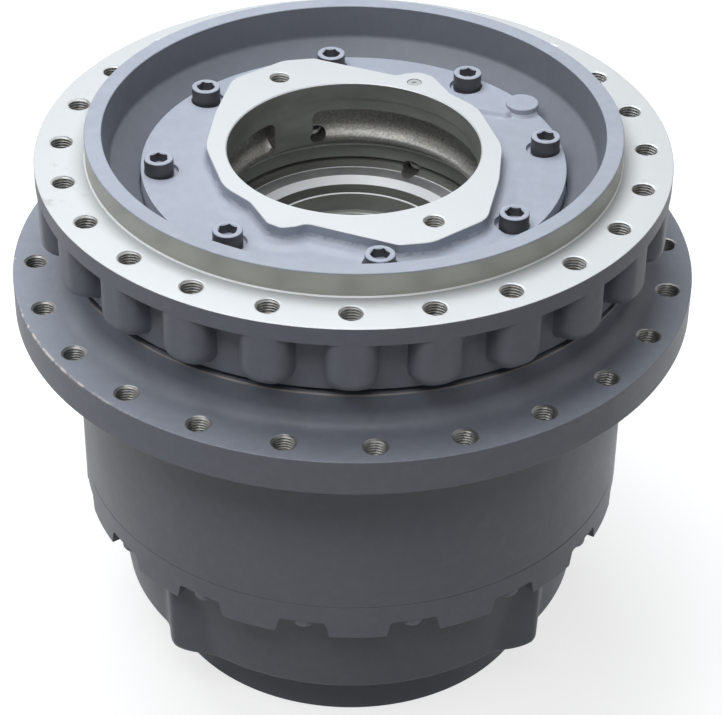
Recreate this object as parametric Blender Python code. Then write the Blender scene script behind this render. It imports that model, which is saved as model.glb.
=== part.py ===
"""Excavator final drive: a two-stage planetary travel gearbox standing on its cover.

Units are metres and +Z is up. The origin is on the ground under the turning axis, which is Z.
The mount housing with its motor housing stands still and bolts to the track frame.
The hub with its ring gears and cover turns around it and carries the sprocket.
"""
import math

import bmesh
import bpy
from mathutils import Matrix, Vector

MM = 0.001

# Facet counts of round work: outer rings, motor bore, rings inside the housing, holes and pins
SIDES = 48
MOTOR_SIDES = 32
INNER_SIDES = 24
BOLT_SIDES = 6
HOLE_SIDES = 8
SCREW_SIDES = 10
PIN_SIDES = 12

# Clearances: parts that touch, parts that turn past each other, and the open seal gap
FIT = 0.3 * MM
SLACK = 0.9 * MM
DRILL_REST = 3 * MM
RUN = 2.0 * MM
SEAL_GAP = 7 * MM
MOTOR_GAP = 1.2 * MM

# How far a cutter runs past the face it leaves, and how deep a joined form is rooted
OVERRUN = 5 * MM
ROOT = 2 * MM

# Drum, and from its wall outward the land, the seal collar, the sprocket holes and the flange's rim
DRUM_RADIUS = 236 * MM
DRUM_HEIGHT = 159 * MM
SPROCKET_FLANGE_THICKNESS = 31 * MM
SPROCKET_LAND_STEP = 3 * MM
SPROCKET_LAND_HEIGHT = 9 * MM
SPROCKET_HOLE_MARGIN = 30.3 * MM
SPROCKET_RIM = 19.2 * MM
SPROCKET_LAND_RADIUS = DRUM_RADIUS + SPROCKET_LAND_STEP
SPROCKET_HOLE_CIRCLE = DRUM_RADIUS + SPROCKET_HOLE_MARGIN
SPROCKET_FLANGE_RADIUS = SPROCKET_HOLE_CIRCLE + SPROCKET_RIM
COLLAR_STEP = 5 * MM
COLLAR_HEIGHT = 30 * MM
COLLAR_FILLET = 16 * MM
COLLAR_RADIUS = DRUM_RADIUS + COLLAR_STEP
HUB_TURN = math.radians(4.1)

# Cover, from the ground up
COVER_FOOT_RADIUS = 168 * MM
COVER_FOOT_HEIGHT = 57 * MM
COVER_FOOT_EDGE = 6 * MM
COVER_BODY_FOOT_RADIUS = 202 * MM
COVER_BODY_EDGE = 4 * MM
COVER_TAB_REACH = 12 * MM
COVER_BODY_HEAD_RADIUS = DRUM_RADIUS - COVER_TAB_REACH
COVER_HEIGHT = 177 * MM
COVER_FLANGE_HEIGHT = 31 * MM
COVER_NOTCH_DEPTH = 16 * MM
COVER_NOTCH_ROOF_WIDTH = 32 * MM
COVER_NOTCH_MOUTH_WIDTH = 43 * MM
COVER_FLOOR = 22 * MM
COVER_RIB_COUNT = 4
COVER_RIB_WIDTH = 26 * MM
COVER_RIB_RISE = 11 * MM
COVER_RIB_REACH = COVER_BODY_FOOT_RADIUS + COVER_RIB_RISE
COVER_WALL = 16 * MM
COVER_NOTCH_BITE = 8 * MM

# Mount housing, from the pilot ring outward: the holes' circle, the cast bosses and the flange's rim
MOUNT_DEPTH = 68 * MM
MOUNT_RIM = 15.5 * MM
PILOT_HEIGHT = 21 * MM
PILOT_RADIUS = 219.5 * MM
PILOT_WALL = 14 * MM
PILOT_TAPER = 5.5 * MM
PILOT_MARGIN = 20.5 * MM
PILOT_MOUTH_RADIUS = PILOT_RADIUS - PILOT_WALL
PILOT_THROAT_RADIUS = PILOT_MOUTH_RADIUS - PILOT_TAPER
FRAME_HOLE_CIRCLE = PILOT_RADIUS + PILOT_MARGIN
MOUNT_FLANGE_RADIUS = FRAME_HOLE_CIRCLE + 21 * MM
BOSS_WIDTH = 45 * MM
BOSS_STEP = 1 * MM
BOSS_RECESS = 21.5 * MM
MOUNT_WALL_RADIUS = MOUNT_FLANGE_RADIUS - BOSS_RECESS

# Bolt patterns: count, bore and depth, and the circles that aren't above
FRAME_HOLE_COUNT = 24
FRAME_HOLE_RADIUS = 10 * MM
FRAME_HOLE_DEPTH = 42 * MM
SPROCKET_HOLE_COUNT = 24
SPROCKET_HOLE_RADIUS = 10 * MM
COVER_BOLT_CIRCLE = DRUM_RADIUS - 10.5 * MM
COVER_BOLT_COUNT = 16
COVER_BOLT_TURN = math.radians(9.05)
COVER_BOLT_RADIUS = 6 * MM
COVER_BOLT_FLATS = 19 * MM
COVER_BOLT_HEAD = 8 * MM
COVER_BOLT_LENGTH = 42 * MM
MOTOR_SCREW_CIRCLE = 160 * MM
MOTOR_SCREW_COUNT = 8
MOTOR_SCREW_TURN = math.radians(7.5)
MOTOR_SCREW_RADIUS = 8 * MM
MOTOR_SCREW_HEAD_RADIUS = 12 * MM
MOTOR_SCREW_HEAD = 16 * MM
MOTOR_SCREW_FLATS = 14 * MM
MOTOR_SCREW_LENGTH = 46 * MM
MOTOR_SPOTFACE_RADIUS = 14.5 * MM
MOTOR_SPOTFACE_DEPTH = 3.5 * MM

# Motor housing: disc, raised machined face and the stepped bore, depths below the face
MOTOR_DISC_RADIUS = 175 * MM
MOTOR_DISC_DROP = 13.5 * MM
MOTOR_DISC_THICKNESS = 22 * MM
THROAT_RISE = 7 * MM
MOTOR_BORE_RADIUS = 104.5 * MM
POCKET_TOP = 26 * MM
POCKET_FLOOR = 57 * MM
POCKET_SLOPE = 6 * MM
POCKET_COUNT = 3
POCKET_ANGLE = math.radians(100)
POCKET_TURN = math.radians(30)
PISTON_BORE_RADIUS = 118 * MM
PISTON_BORE_FLOOR = 86 * MM
LEAD_RADIUS = 97 * MM
LEAD_SEAT_RADIUS = 93 * MM
LEAD_DEPTH = 97 * MM
LEAD_EDGE = 2 * MM
LEAD_WALL = 3 * MM
BARREL_BORE_RADIUS = 82 * MM
BARREL_LIP_DEPTH = 114 * MM
BARREL_SEAT_RADIUS = 76 * MM
MOTOR_FLOOR_DEPTH = 148 * MM
MOTOR_FLOOR_THICKNESS = 14 * MM
MOTOR_CASE_WALL = 12 * MM
MOTOR_BARREL_WALL = 23 * MM
FACE_HOLE = (63.9 * MM, -112.8 * MM)
FACE_HOLE_RADIUS = 9 * MM
FACE_HOLE_DEPTH = 34 * MM
PORT_PLUG_PLACE = (51 * MM, 106.7 * MM)
PORT_PLUG_RADIUS = 6 * MM
PORT_PLUG_DEPTH = 10 * MM
CAST_BOSS_PLACE = (142.8 * MM, 86.5 * MM)
CAST_BOSS_RADIUS = 14 * MM
CAST_BOSS_HEIGHT = 7 * MM
CAST_RIB_HEIGHT = 4 * MM
RAISED_ROOT = 3 * MM

# Half of the raised face's outline: x, y and corner radius, in millimetres, turned for the rest
FACE_CORNERS = (
    (-26, -122.5, 12), (36, -147.5, 8), (62, -143, 22), (105, -109, 22), (117, -50, 90),
    (122, 3, 60), (104, 65, 40), (81.5, 88, 18), (67, 118, 7), (56, 125, 8), (44, 122.6, 8),
    (36, 118.4, 8),
)

# Rib from the raised face to the cast boss: x, y and corner radius, in millimetres
CAST_RIB_CORNERS = ((90, 84, 4), (104, 79.5, 4), (130, 72, 2), (147, 98, 2), (112, 108, 10),
                    (92, 104, 6))

# Main bearings, as wide as they are deep in section, and the nut that holds them
BEARING_BORE_RADIUS = 145 * MM
BEARING_OUTER_RADIUS = 190 * MM
BEARING_WIDTH = 40 * MM
BEARING_SHOULDER = 7 * MM
RACE_THICK = 16 * MM
RACE_THIN = 9 * MM
ROLLER_RADIUS = 7 * MM
ROLLER_LENGTH = 28.8 * MM
SPINDLE_SHOULDER_RADIUS = 163 * MM
NUT_RADIUS = 160 * MM
NUT_HEIGHT = 15 * MM
NUT_SLOT_COUNT = 8
NUT_SLOT_WIDTH = 12 * MM
NUT_SLOT_DEPTH = 8 * MM
SPINDLE_SHOULDER_DROP = 9 * MM
CAVITY_RELIEF = 4 * MM
COLLAR_LIP = 3 * MM
SPINDLE_THREAD_RADIUS = 138 * MM
SPINDLE_END_LENGTH = 18 * MM
SPINDLE_END_RADIUS = 130 * MM
SHAFT_TUNNEL_RADIUS = 45 * MM

# Face seal: two metal rings, each on a rubber toric ring
SEAL_INNER_RADIUS = 200.5 * MM
SEAL_OUTER_RADIUS = 219.5 * MM
SEAL_RING_WIDTH = 13 * MM
SEAL_RING_HEIGHT = 12 * MM
SEAL_RING_RIM = 4 * MM
SEAL_SEAT_DEPTH = 22 * MM
SEAL_RING_NECK = 6 * MM
SEAL_TORIC_WIDTH = 8 * MM
SEAL_TORIC_LIFT = 1.5 * MM
SEAL_SHOULDER = 5 * MM

# Gear teeth: pressure angle, play at the pitch circle, tip and root heights in modules
PRESSURE_ANGLE = math.radians(25)
BACKLASH = 0.9 * MM
TIP_HEIGHT = 0.9
ROOT_DEPTH = 1.25
PLANET_COUNT = 3

# Output stage, between the fixed carrier and the hub's ring gear
OUTPUT_MODULE = 8 * MM
OUTPUT_RING_TEETH = 48
OUTPUT_SUN_TEETH = 12
OUTPUT_FACE_WIDTH = 64 * MM
OUTPUT_PIN_RADIUS = 20 * MM
OUTPUT_RING_RADIUS = 215 * MM
OUTPUT_CARRIER_THICKNESS = 24 * MM
OUTPUT_CARRIER_RIM = 20 * MM
GEAR_PLAY = 4 * MM
RING_SPIGOT = 7 * MM

# First stage, inside the cover
FIRST_MODULE = 6 * MM
FIRST_RING_TEETH = 54
FIRST_SUN_TEETH = 12
FIRST_FACE_WIDTH = 50 * MM
FIRST_PIN_RADIUS = 15 * MM
FIRST_RING_RADIUS = 182 * MM
FIRST_CARRIER_THICKNESS = 26 * MM
FIRST_CARRIER_RIM = 15 * MM
INPUT_SHAFT_RADIUS = 22 * MM
INPUT_SHAFT_REACH = 8 * MM
THRUST_PAD_RADIUS = 20 * MM

DRAIN_PLUG_RADIUS = 12 * MM
DRAIN_PLUG_LENGTH = 20 * MM
DRAIN_PLUG_HEAD = 18 * MM
DRAIN_PLUG_SINK = 6 * MM

# Heights that follow from the stack of parts
PARTING_Z = COVER_HEIGHT
FLANGE_FOOT_Z = PARTING_Z + DRUM_HEIGHT
FLANGE_TOP_Z = FLANGE_FOOT_Z + SPROCKET_FLANGE_THICKNESS
COLLAR_TOP_Z = FLANGE_TOP_Z + COLLAR_HEIGHT
MOUNT_FOOT_Z = COLLAR_TOP_Z + SEAL_GAP
FACE_Z = MOUNT_FOOT_Z + MOUNT_DEPTH
DISC_Z = FACE_Z - MOTOR_DISC_DROP
DISC_SEAT_Z = DISC_Z - MOTOR_DISC_THICKNESS
SEAL_FACE_Z = COLLAR_TOP_Z - SEAL_SHOULDER
SPINDLE_SHOULDER_Z = COLLAR_TOP_Z - SPINDLE_SHOULDER_DROP
UPPER_BEARING_Z = SPINDLE_SHOULDER_Z - FIT - BEARING_WIDTH
LOWER_BEARING_Z = UPPER_BEARING_Z - BEARING_SHOULDER - 2 * FIT - BEARING_WIDTH
NUT_Z = LOWER_BEARING_Z - FIT - NUT_HEIGHT
SPINDLE_END_Z = NUT_Z - SPINDLE_END_LENGTH
OUTPUT_CARRIER_Z = SPINDLE_END_Z - FIT - OUTPUT_CARRIER_THICKNESS
OUTPUT_GEAR_Z = OUTPUT_CARRIER_Z - GEAR_PLAY - OUTPUT_FACE_WIDTH
MOTOR_FLOOR_Z = FACE_Z - MOTOR_FLOOR_DEPTH
MOTOR_CASE_FOOT_Z = MOTOR_FLOOR_Z - MOTOR_FLOOR_THICKNESS
MOTOR_CASE_STEP_Z = FACE_Z - LEAD_DEPTH - LEAD_WALL
FIRST_GEAR_Z = COVER_FOOT_HEIGHT + 11 * MM
FIRST_CARRIER_Z = FIRST_GEAR_Z + FIRST_FACE_WIDTH + GEAR_PLAY

# Gear sizes that follow from the teeth
OUTPUT_PLANET_TEETH = (OUTPUT_RING_TEETH - OUTPUT_SUN_TEETH) // 2
FIRST_PLANET_TEETH = (FIRST_RING_TEETH - FIRST_SUN_TEETH) // 2
OUTPUT_CENTRE = OUTPUT_MODULE * (OUTPUT_SUN_TEETH + OUTPUT_PLANET_TEETH) / 2
FIRST_CENTRE = FIRST_MODULE * (FIRST_SUN_TEETH + FIRST_PLANET_TEETH) / 2
SHAFT_BORE_RADIUS = INPUT_SHAFT_RADIUS + RUN

PAINT = ("blue_grey_paint", (0.36, 0.39, 0.44), 0.45, 0.0)
MACHINED = ("machined_iron", (0.62, 0.63, 0.62), 0.35, 0.9)
STEEL = ("alloy_steel", (0.42, 0.42, 0.43), 0.35, 1.0)
BLACK_STEEL = ("blackened_steel", (0.10, 0.10, 0.11), 0.4, 0.9)
RUBBER = ("nitrile_rubber", (0.03, 0.03, 0.03), 0.7, 0.0)


def clear_scene():
    """Removes whatever the scene holds."""
    for thing in list(bpy.data.objects):
        bpy.data.objects.remove(thing, do_unlink=True)


def make_material(name, look):
    """Gives one object its own Principled material."""
    _, colour, roughness, metallic = look
    material = bpy.data.materials.new(name)
    material.use_nodes = True
    shader = material.node_tree.nodes["Principled BSDF"]
    shader.inputs["Base Color"].default_value = (*colour, 1.0)
    shader.inputs["Roughness"].default_value = roughness
    shader.inputs["Metallic"].default_value = metallic
    return material


def make_object(name, shape, look=None, parent=None):
    """Turns a bmesh into a named object; without a look it is a cutter."""
    bmesh.ops.recalc_face_normals(shape, faces=shape.faces)
    mesh = bpy.data.meshes.new(name)
    shape.to_mesh(mesh)
    shape.free()
    thing = bpy.data.objects.new(name, mesh)
    bpy.context.scene.collection.objects.link(thing)
    if look is None:
        thing.hide_render = True
        thing.display_type = "WIRE"
    else:
        mesh.materials.append(make_material(name, look))
        mesh.shade_smooth()
        mesh.set_sharp_from_angle(angle=math.radians(32))
    if parent is not None:
        thing.parent = parent
    return thing


def make_empty(name, turn, parent=None):
    """A frame for pieces that turn together."""
    empty = bpy.data.objects.new(name, None)
    bpy.context.scene.collection.objects.link(empty)
    empty.rotation_euler = (0.0, 0.0, turn)
    empty.parent = parent
    return empty


def combine(target, tool, operation):
    """Cuts a tool out of an object or unites the two."""
    tool.parent = target.parent
    modifier = target.modifiers.new(tool.name, "BOOLEAN")
    modifier.operation = operation
    modifier.solver = "EXACT"
    modifier.object = tool


def turned(outline, sides=SIDES, turn=0.0):
    """Spins a closed outline of (radius, height) points round the Z axis."""
    shape = bmesh.new()
    points = [shape.verts.new((radius, 0.0, height)) for radius, height in outline]
    edges = []
    for first, second in zip(points, points[1:] + points[:1]):
        if first.co.x > 0.0 or second.co.x > 0.0:
            edges.append(shape.edges.new((first, second)))
    bmesh.ops.spin(shape, geom=points + edges, cent=(0, 0, 0), axis=(0, 0, 1),
                   angle=2 * math.pi, steps=sides, use_merge=True)
    bmesh.ops.remove_doubles(shape, verts=shape.verts, dist=0.001 * MM)
    bmesh.ops.rotate(shape, verts=shape.verts, cent=(0, 0, 0),
                     matrix=Matrix.Rotation(turn, 3, "Z"))
    return shape


def ring(inner, outer, bottom, top, sides=SIDES):
    """A plain ring of rectangular section."""
    return turned([(outer, top), (outer, bottom), (inner, bottom), (inner, top)], sides)


def disc(radius, bottom, top, sides, turn=0.0):
    """A plain solid disc, pin or hole cutter."""
    return turned([(0.0, top), (radius, top), (radius, bottom), (0.0, bottom)], sides, turn)


def bore(radius, bottom, top, sides=HOLE_SIDES):
    """A hole cutter whose flats face its rays, clear of the rings' own corners."""
    return disc(radius, bottom, top, sides, math.pi / sides)


def running_bore(radius, bottom, top, sides=PIN_SIDES):
    """A hole cutter whose flats lie at the radius, so that a pin inside it is free to turn."""
    return bore(radius / math.cos(math.pi / sides), bottom, top, sides)


def prism(points, bottom, top):
    """Extrudes a closed outline of (x, y) points from one height to another."""
    shape = bmesh.new()
    base = shape.faces.new([shape.verts.new((x, y, bottom)) for x, y in points])
    grown = bmesh.ops.extrude_face_region(shape, geom=[base])
    top_verts = [item for item in grown["geom"] if isinstance(item, bmesh.types.BMVert)]
    bmesh.ops.translate(shape, verts=top_verts, vec=(0, 0, top - bottom))
    return shape


def polygon(radius, sides, turn=0.0):
    """Corner points of a regular polygon."""
    step = 2 * math.pi / sides
    return [(radius * math.cos(turn + step * i), radius * math.sin(turn + step * i))
            for i in range(sides)]


def place(shape, x, y, turn=0.0):
    """Turns a shape about Z and moves it to x, y."""
    bmesh.ops.rotate(shape, verts=shape.verts, cent=(0, 0, 0),
                     matrix=Matrix.Rotation(turn, 3, "Z"))
    bmesh.ops.translate(shape, verts=shape.verts, vec=(x, y, 0))
    return shape


def join(shapes):
    """Puts several shapes into one bmesh as separate bodies."""
    whole = bmesh.new()
    for shape in shapes:
        mesh = bpy.data.meshes.new("joined")
        shape.to_mesh(mesh)
        shape.free()
        whole.from_mesh(mesh)
        bpy.data.meshes.remove(mesh)
    return whole


def on_circle(radius, angle):
    """A place on a circle, with the angle taken from the front (-Y) toward +X."""
    return radius * math.sin(angle), -radius * math.cos(angle)


def around(make, circle, count, turn=0.0):
    """Repeats a shape round a circle, each copy turned to face outward."""
    copies = []
    for index in range(count):
        angle = turn + 2 * math.pi * index / count
        copies.append(place(make(), *on_circle(circle, angle), angle))
    return join(copies)


def rounded(corners, steps):
    """Rounds each corner (x, y, radius) of a closed outline with an arc."""
    points = []
    count = len(corners)
    for index, (x, y, radius) in enumerate(corners):
        here = Vector((x, y))
        before = Vector(corners[index - 1][:2]) - here
        after = Vector(corners[(index + 1) % count][:2]) - here
        half = before.angle(after) / 2
        reach = min(radius / math.tan(half), 0.48 * before.length, 0.48 * after.length)
        start = here + before.normalized() * reach
        end = here + after.normalized() * reach
        for step in range(steps + 1):
            share = step / steps
            points.append(tuple(start.lerp(here, share).lerp(here.lerp(end, share), share)))
    return points


def face_outline(steps=2):
    """The raised motor face: two equal halves, each the other turned by half a turn."""
    half = [(x * MM, y * MM, radius * MM) for x, y, radius in FACE_CORNERS]
    return rounded(half + [(-x, -y, radius) for x, y, radius in half], steps)


def tooth_points(module, teeth, centre, outward):
    """Root and tip points of one straight-flanked tooth; outward is False inside a ring."""
    pitch_radius = module * teeth / 2
    half_pitch = (math.pi * module / 2 - BACKLASH) / 2
    sense = 1 if outward else -1
    points = []
    for side, order in ((-1, ("root", "tip")), (1, ("tip", "root"))):
        for level in order:
            rise = -ROOT_DEPTH * module if level == "root" else TIP_HEIGHT * module
            half_width = half_pitch - rise * math.tan(PRESSURE_ANGLE)
            radius = pitch_radius + sense * rise
            angle = centre + side * half_width / pitch_radius
            points.append((radius * math.cos(angle), radius * math.sin(angle)))
    return points


def gear_outline(module, teeth, turn=0.0, outward=True):
    """The whole toothed outline of a gear with a tooth centred at the angle turn."""
    points = []
    for index in range(teeth):
        points += tooth_points(module, teeth, turn + 2 * math.pi * index / teeth, outward)
    return points


def planet_turn(sun_teeth, planet_teeth, angle):
    """Turn that sets a planet's tooth space on the sun tooth nearest the line between them."""
    pitch = 2 * math.pi / sun_teeth
    offset = round(angle / pitch) * pitch - angle
    space = angle + math.pi - offset * sun_teeth / planet_teeth
    return space + math.pi / planet_teeth


def ring_turn(sun_teeth, planet_teeth, ring_teeth):
    """Turn of the ring gear that meshes with the planet standing at angle zero."""
    pitch = 2 * math.pi / planet_teeth
    turn = planet_turn(sun_teeth, planet_teeth, 0.0) + pitch / 2
    offset = turn - round(turn / pitch) * pitch
    return offset * planet_teeth / ring_teeth


def make_mount_housing():
    """Stationary casting: pilot ring, drilled flange on cast bosses, and the bearing spindle."""
    flange_foot = FACE_Z - MOUNT_RIM
    inner_foot = MOUNT_FOOT_Z - SEAL_SHOULDER
    case_bore = PISTON_BORE_RADIUS + MOTOR_CASE_WALL + MOTOR_GAP
    disc_bore = MOTOR_DISC_RADIUS + MOTOR_GAP
    outline = [
        (PILOT_MOUTH_RADIUS, FACE_Z + PILOT_HEIGHT),
        (PILOT_RADIUS, FACE_Z + PILOT_HEIGHT),
        (PILOT_RADIUS, FACE_Z),
        (MOUNT_FLANGE_RADIUS, FACE_Z),
        (MOUNT_FLANGE_RADIUS, flange_foot),
        (MOUNT_WALL_RADIUS, flange_foot - ROOT),
        (MOUNT_WALL_RADIUS, MOUNT_FOOT_Z),
        (SEAL_INNER_RADIUS, MOUNT_FOOT_Z),
        (SEAL_INNER_RADIUS - 2 * ROOT, inner_foot),
        (case_bore, inner_foot),
        (case_bore, DISC_SEAT_Z - FIT),
        (disc_bore, DISC_SEAT_Z - FIT),
        (disc_bore, DISC_Z + FIT),
        (PILOT_THROAT_RADIUS, DISC_Z + THROAT_RISE),
    ]
    body = make_object("mount_housing", turned(outline), PAINT)
    seat = ring(SEAL_INNER_RADIUS - FIT, SEAL_OUTER_RADIUS + FIT, inner_foot - OVERRUN,
                SEAL_FACE_Z + SEAL_SEAT_DEPTH, INNER_SIDES)
    combine(body, make_object("seal_seat_form", seat), "DIFFERENCE")
    combine(body, make_object("spindle_form", spindle_shape(inner_foot, case_bore)), "UNION")
    radius = BOSS_WIDTH / 2
    boss = [(0.0, flange_foot + ROOT), (radius, flange_foot + ROOT),
            (radius, MOUNT_FOOT_Z + 0.8 * radius), (0.65 * radius, MOUNT_FOOT_Z + 0.25 * radius),
            (0.0, MOUNT_FOOT_Z + SLACK)]
    boss_circle = MOUNT_FLANGE_RADIUS - BOSS_STEP - radius * math.cos(math.pi / HOLE_SIDES)
    bosses = around(lambda: turned(boss, HOLE_SIDES, math.pi / HOLE_SIDES), boss_circle,
                    FRAME_HOLE_COUNT)
    combine(body, make_object("boss_form", bosses), "UNION")
    holes = around(lambda: bore(FRAME_HOLE_RADIUS, FACE_Z - FRAME_HOLE_DEPTH, FACE_Z + OVERRUN),
                   FRAME_HOLE_CIRCLE, FRAME_HOLE_COUNT)
    combine(body, make_object("frame_hole_form", holes), "DIFFERENCE")
    screw_foot = DISC_Z - MOTOR_SPOTFACE_DEPTH - MOTOR_SCREW_LENGTH - DRILL_REST
    holes = around(lambda: bore(MOTOR_SCREW_RADIUS + SLACK, screw_foot, DISC_SEAT_Z + OVERRUN),
                   MOTOR_SCREW_CIRCLE, MOTOR_SCREW_COUNT, MOTOR_SCREW_TURN)
    combine(body, make_object("motor_thread_form", holes), "DIFFERENCE")
    recess = disc(CAST_BOSS_RADIUS + MOTOR_GAP, DISC_Z - RAISED_ROOT - FIT, FACE_Z, PIN_SIDES)
    combine(body, make_object("boss_recess_form", place(recess, *CAST_BOSS_PLACE)), "DIFFERENCE")
    return body


def spindle_shape(top, case_bore):
    """The hollow spindle that carries both bearings, the nut and the fixed carrier."""
    thread_foot = LOWER_BEARING_Z - FIT
    barrel_bore = BARREL_BORE_RADIUS + MOTOR_BARREL_WALL + RUN
    outline = [
        (SPINDLE_SHOULDER_RADIUS, top + 2 * ROOT),
        (SPINDLE_SHOULDER_RADIUS, SPINDLE_SHOULDER_Z),
        (BEARING_BORE_RADIUS - FIT, SPINDLE_SHOULDER_Z),
        (BEARING_BORE_RADIUS - FIT, thread_foot),
        (SPINDLE_THREAD_RADIUS, thread_foot),
        (SPINDLE_THREAD_RADIUS, NUT_Z),
        (SPINDLE_END_RADIUS, NUT_Z),
        (SPINDLE_END_RADIUS, SPINDLE_END_Z),
        (SHAFT_TUNNEL_RADIUS, SPINDLE_END_Z),
        (SHAFT_TUNNEL_RADIUS, MOTOR_CASE_FOOT_Z - FIT),
        (barrel_bore, MOTOR_CASE_FOOT_Z - FIT),
        (barrel_bore, MOTOR_CASE_STEP_Z - FIT),
        (case_bore + MM, MOTOR_CASE_STEP_Z - FIT),
        (case_bore + MM, top + 2 * ROOT),
    ]
    return turned(outline, INNER_SIDES)


def motor_bore_outline():
    """The stepped bore below the pockets, as a closed outline for the cutter."""
    return [
        (0.0, FACE_Z + OVERRUN),
        (MOTOR_BORE_RADIUS, FACE_Z + OVERRUN),
        (MOTOR_BORE_RADIUS, FACE_Z - POCKET_FLOOR),
        (PISTON_BORE_RADIUS, FACE_Z - POCKET_FLOOR - POCKET_SLOPE),
        (PISTON_BORE_RADIUS, FACE_Z - PISTON_BORE_FLOOR),
        (LEAD_RADIUS, FACE_Z - PISTON_BORE_FLOOR - LEAD_EDGE),
        (LEAD_SEAT_RADIUS, FACE_Z - LEAD_DEPTH + LEAD_EDGE),
        (LEAD_SEAT_RADIUS, FACE_Z - LEAD_DEPTH),
        (BARREL_BORE_RADIUS, FACE_Z - LEAD_DEPTH),
        (BARREL_BORE_RADIUS, FACE_Z - BARREL_LIP_DEPTH),
        (BARREL_SEAT_RADIUS, FACE_Z - BARREL_LIP_DEPTH),
        (BARREL_SEAT_RADIUS, MOTOR_FLOOR_Z),
        (0.0, MOTOR_FLOOR_Z),
    ]


def pocket():
    """One of the cast pockets between the machined pillars of the motor bore."""
    steps = 6
    inner = MOTOR_BORE_RADIUS - OVERRUN
    angles = [POCKET_ANGLE * (step / steps - 0.5) for step in range(steps + 1)]
    points = [on_circle(PISTON_BORE_RADIUS, angle) for angle in angles]
    points += [on_circle(inner, angle) for angle in reversed(angles)]
    return prism(points, FACE_Z - POCKET_FLOOR + ROOT, FACE_Z - POCKET_TOP)


def make_motor_housing():
    """Cast motor case: bolted disc, raised machined face and stepped bore."""
    case = PISTON_BORE_RADIUS + MOTOR_CASE_WALL
    barrel = BARREL_BORE_RADIUS + MOTOR_BARREL_WALL
    outline = [
        (0.0, DISC_Z),
        (MOTOR_DISC_RADIUS, DISC_Z),
        (MOTOR_DISC_RADIUS, DISC_SEAT_Z),
        (case, DISC_SEAT_Z),
        (case, MOTOR_CASE_STEP_Z),
        (barrel, MOTOR_CASE_STEP_Z),
        (barrel, MOTOR_CASE_FOOT_Z),
        (0.0, MOTOR_CASE_FOOT_Z),
    ]
    body = make_object("motor_housing", turned(outline, MOTOR_SIDES), MACHINED)
    face = prism(face_outline(), DISC_Z - RAISED_ROOT, FACE_Z)
    combine(body, make_object("raised_face_form", face), "UNION")
    corners = [(x * MM, y * MM, radius * MM) for x, y, radius in CAST_RIB_CORNERS]
    rib = prism(rounded(corners, 2), DISC_Z - ROOT, DISC_Z + CAST_RIB_HEIGHT)
    combine(body, make_object("cast_rib_form", rib), "UNION")
    boss = disc(CAST_BOSS_RADIUS, DISC_Z - RAISED_ROOT, DISC_Z + CAST_BOSS_HEIGHT, PIN_SIDES)
    combine(body, make_object("cast_boss_form", place(boss, *CAST_BOSS_PLACE)), "UNION")
    combine(body, make_object("bore_form", turned(motor_bore_outline(), MOTOR_SIDES)), "DIFFERENCE")
    pockets = []
    for index in range(POCKET_COUNT):
        angle = POCKET_TURN + 2 * math.pi * index / POCKET_COUNT
        pockets.append(place(pocket(), 0.0, 0.0, angle))
    combine(body, make_object("pocket_form", join(pockets)), "DIFFERENCE")
    seat = DISC_Z - MOTOR_SPOTFACE_DEPTH
    seats = around(lambda: bore(MOTOR_SPOTFACE_RADIUS, seat, DISC_Z + OVERRUN, SCREW_SIDES),
                   MOTOR_SCREW_CIRCLE, MOTOR_SCREW_COUNT, MOTOR_SCREW_TURN)
    combine(body, make_object("spotface_form", seats), "DIFFERENCE")
    holes = around(lambda: bore(MOTOR_SCREW_RADIUS + SLACK, DISC_SEAT_Z - OVERRUN, seat + OVERRUN),
                   MOTOR_SCREW_CIRCLE, MOTOR_SCREW_COUNT, MOTOR_SCREW_TURN)
    combine(body, make_object("screw_hole_form", holes), "DIFFERENCE")
    x, y = FACE_HOLE
    face_holes = [place(bore(FACE_HOLE_RADIUS, FACE_Z - FACE_HOLE_DEPTH, FACE_Z + OVERRUN),
                        side * x, side * y) for side in (1, -1)]
    plug_hole = bore(PORT_PLUG_RADIUS + FIT, FACE_Z - PORT_PLUG_DEPTH - FIT, FACE_Z + OVERRUN)
    tunnel = bore(INPUT_SHAFT_RADIUS + 2 * RUN, MOTOR_CASE_FOOT_Z - OVERRUN,
                  MOTOR_FLOOR_Z + OVERRUN, PIN_SIDES)
    holes = join(face_holes + [place(plug_hole, *PORT_PLUG_PLACE), tunnel])
    combine(body, make_object("face_hole_form", holes), "DIFFERENCE")
    return body


def make_motor_screws():
    """Socket-head screws that hold the motor housing down."""
    seat = DISC_Z - MOTOR_SPOTFACE_DEPTH + FIT
    head_top = seat + MOTOR_SCREW_HEAD
    for index in range(MOTOR_SCREW_COUNT):
        angle = MOTOR_SCREW_TURN + 2 * math.pi * index / MOTOR_SCREW_COUNT
        outline = [
            (0.0, head_top),
            (MOTOR_SCREW_HEAD_RADIUS, head_top),
            (MOTOR_SCREW_HEAD_RADIUS, seat),
            (MOTOR_SCREW_RADIUS, seat),
            (MOTOR_SCREW_RADIUS, seat - MOTOR_SCREW_LENGTH),
            (0.0, seat - MOTOR_SCREW_LENGTH),
        ]
        x, y = on_circle(MOTOR_SCREW_CIRCLE, angle)
        screw = make_object(f"motor_screw_{index + 1}", turned(outline, SCREW_SIDES), STEEL)
        socket = prism(polygon(MOTOR_SCREW_FLATS / math.sqrt(3), 6),
                       head_top - 0.5 * MOTOR_SCREW_HEAD, head_top + OVERRUN)
        socket = make_object(f"socket_form_{index + 1}", socket)
        combine(screw, socket, "DIFFERENCE")
        for thing in (screw, socket):
            thing.location = (x, y, 0.0)
            thing.rotation_euler = (0.0, 0.0, angle)


def make_port_plug():
    """Small flush plug in the raised face."""
    plug = bore(PORT_PLUG_RADIUS, FACE_Z - PORT_PLUG_DEPTH, FACE_Z - FIT)
    make_object("port_plug", place(plug, *PORT_PLUG_PLACE), STEEL)


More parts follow.
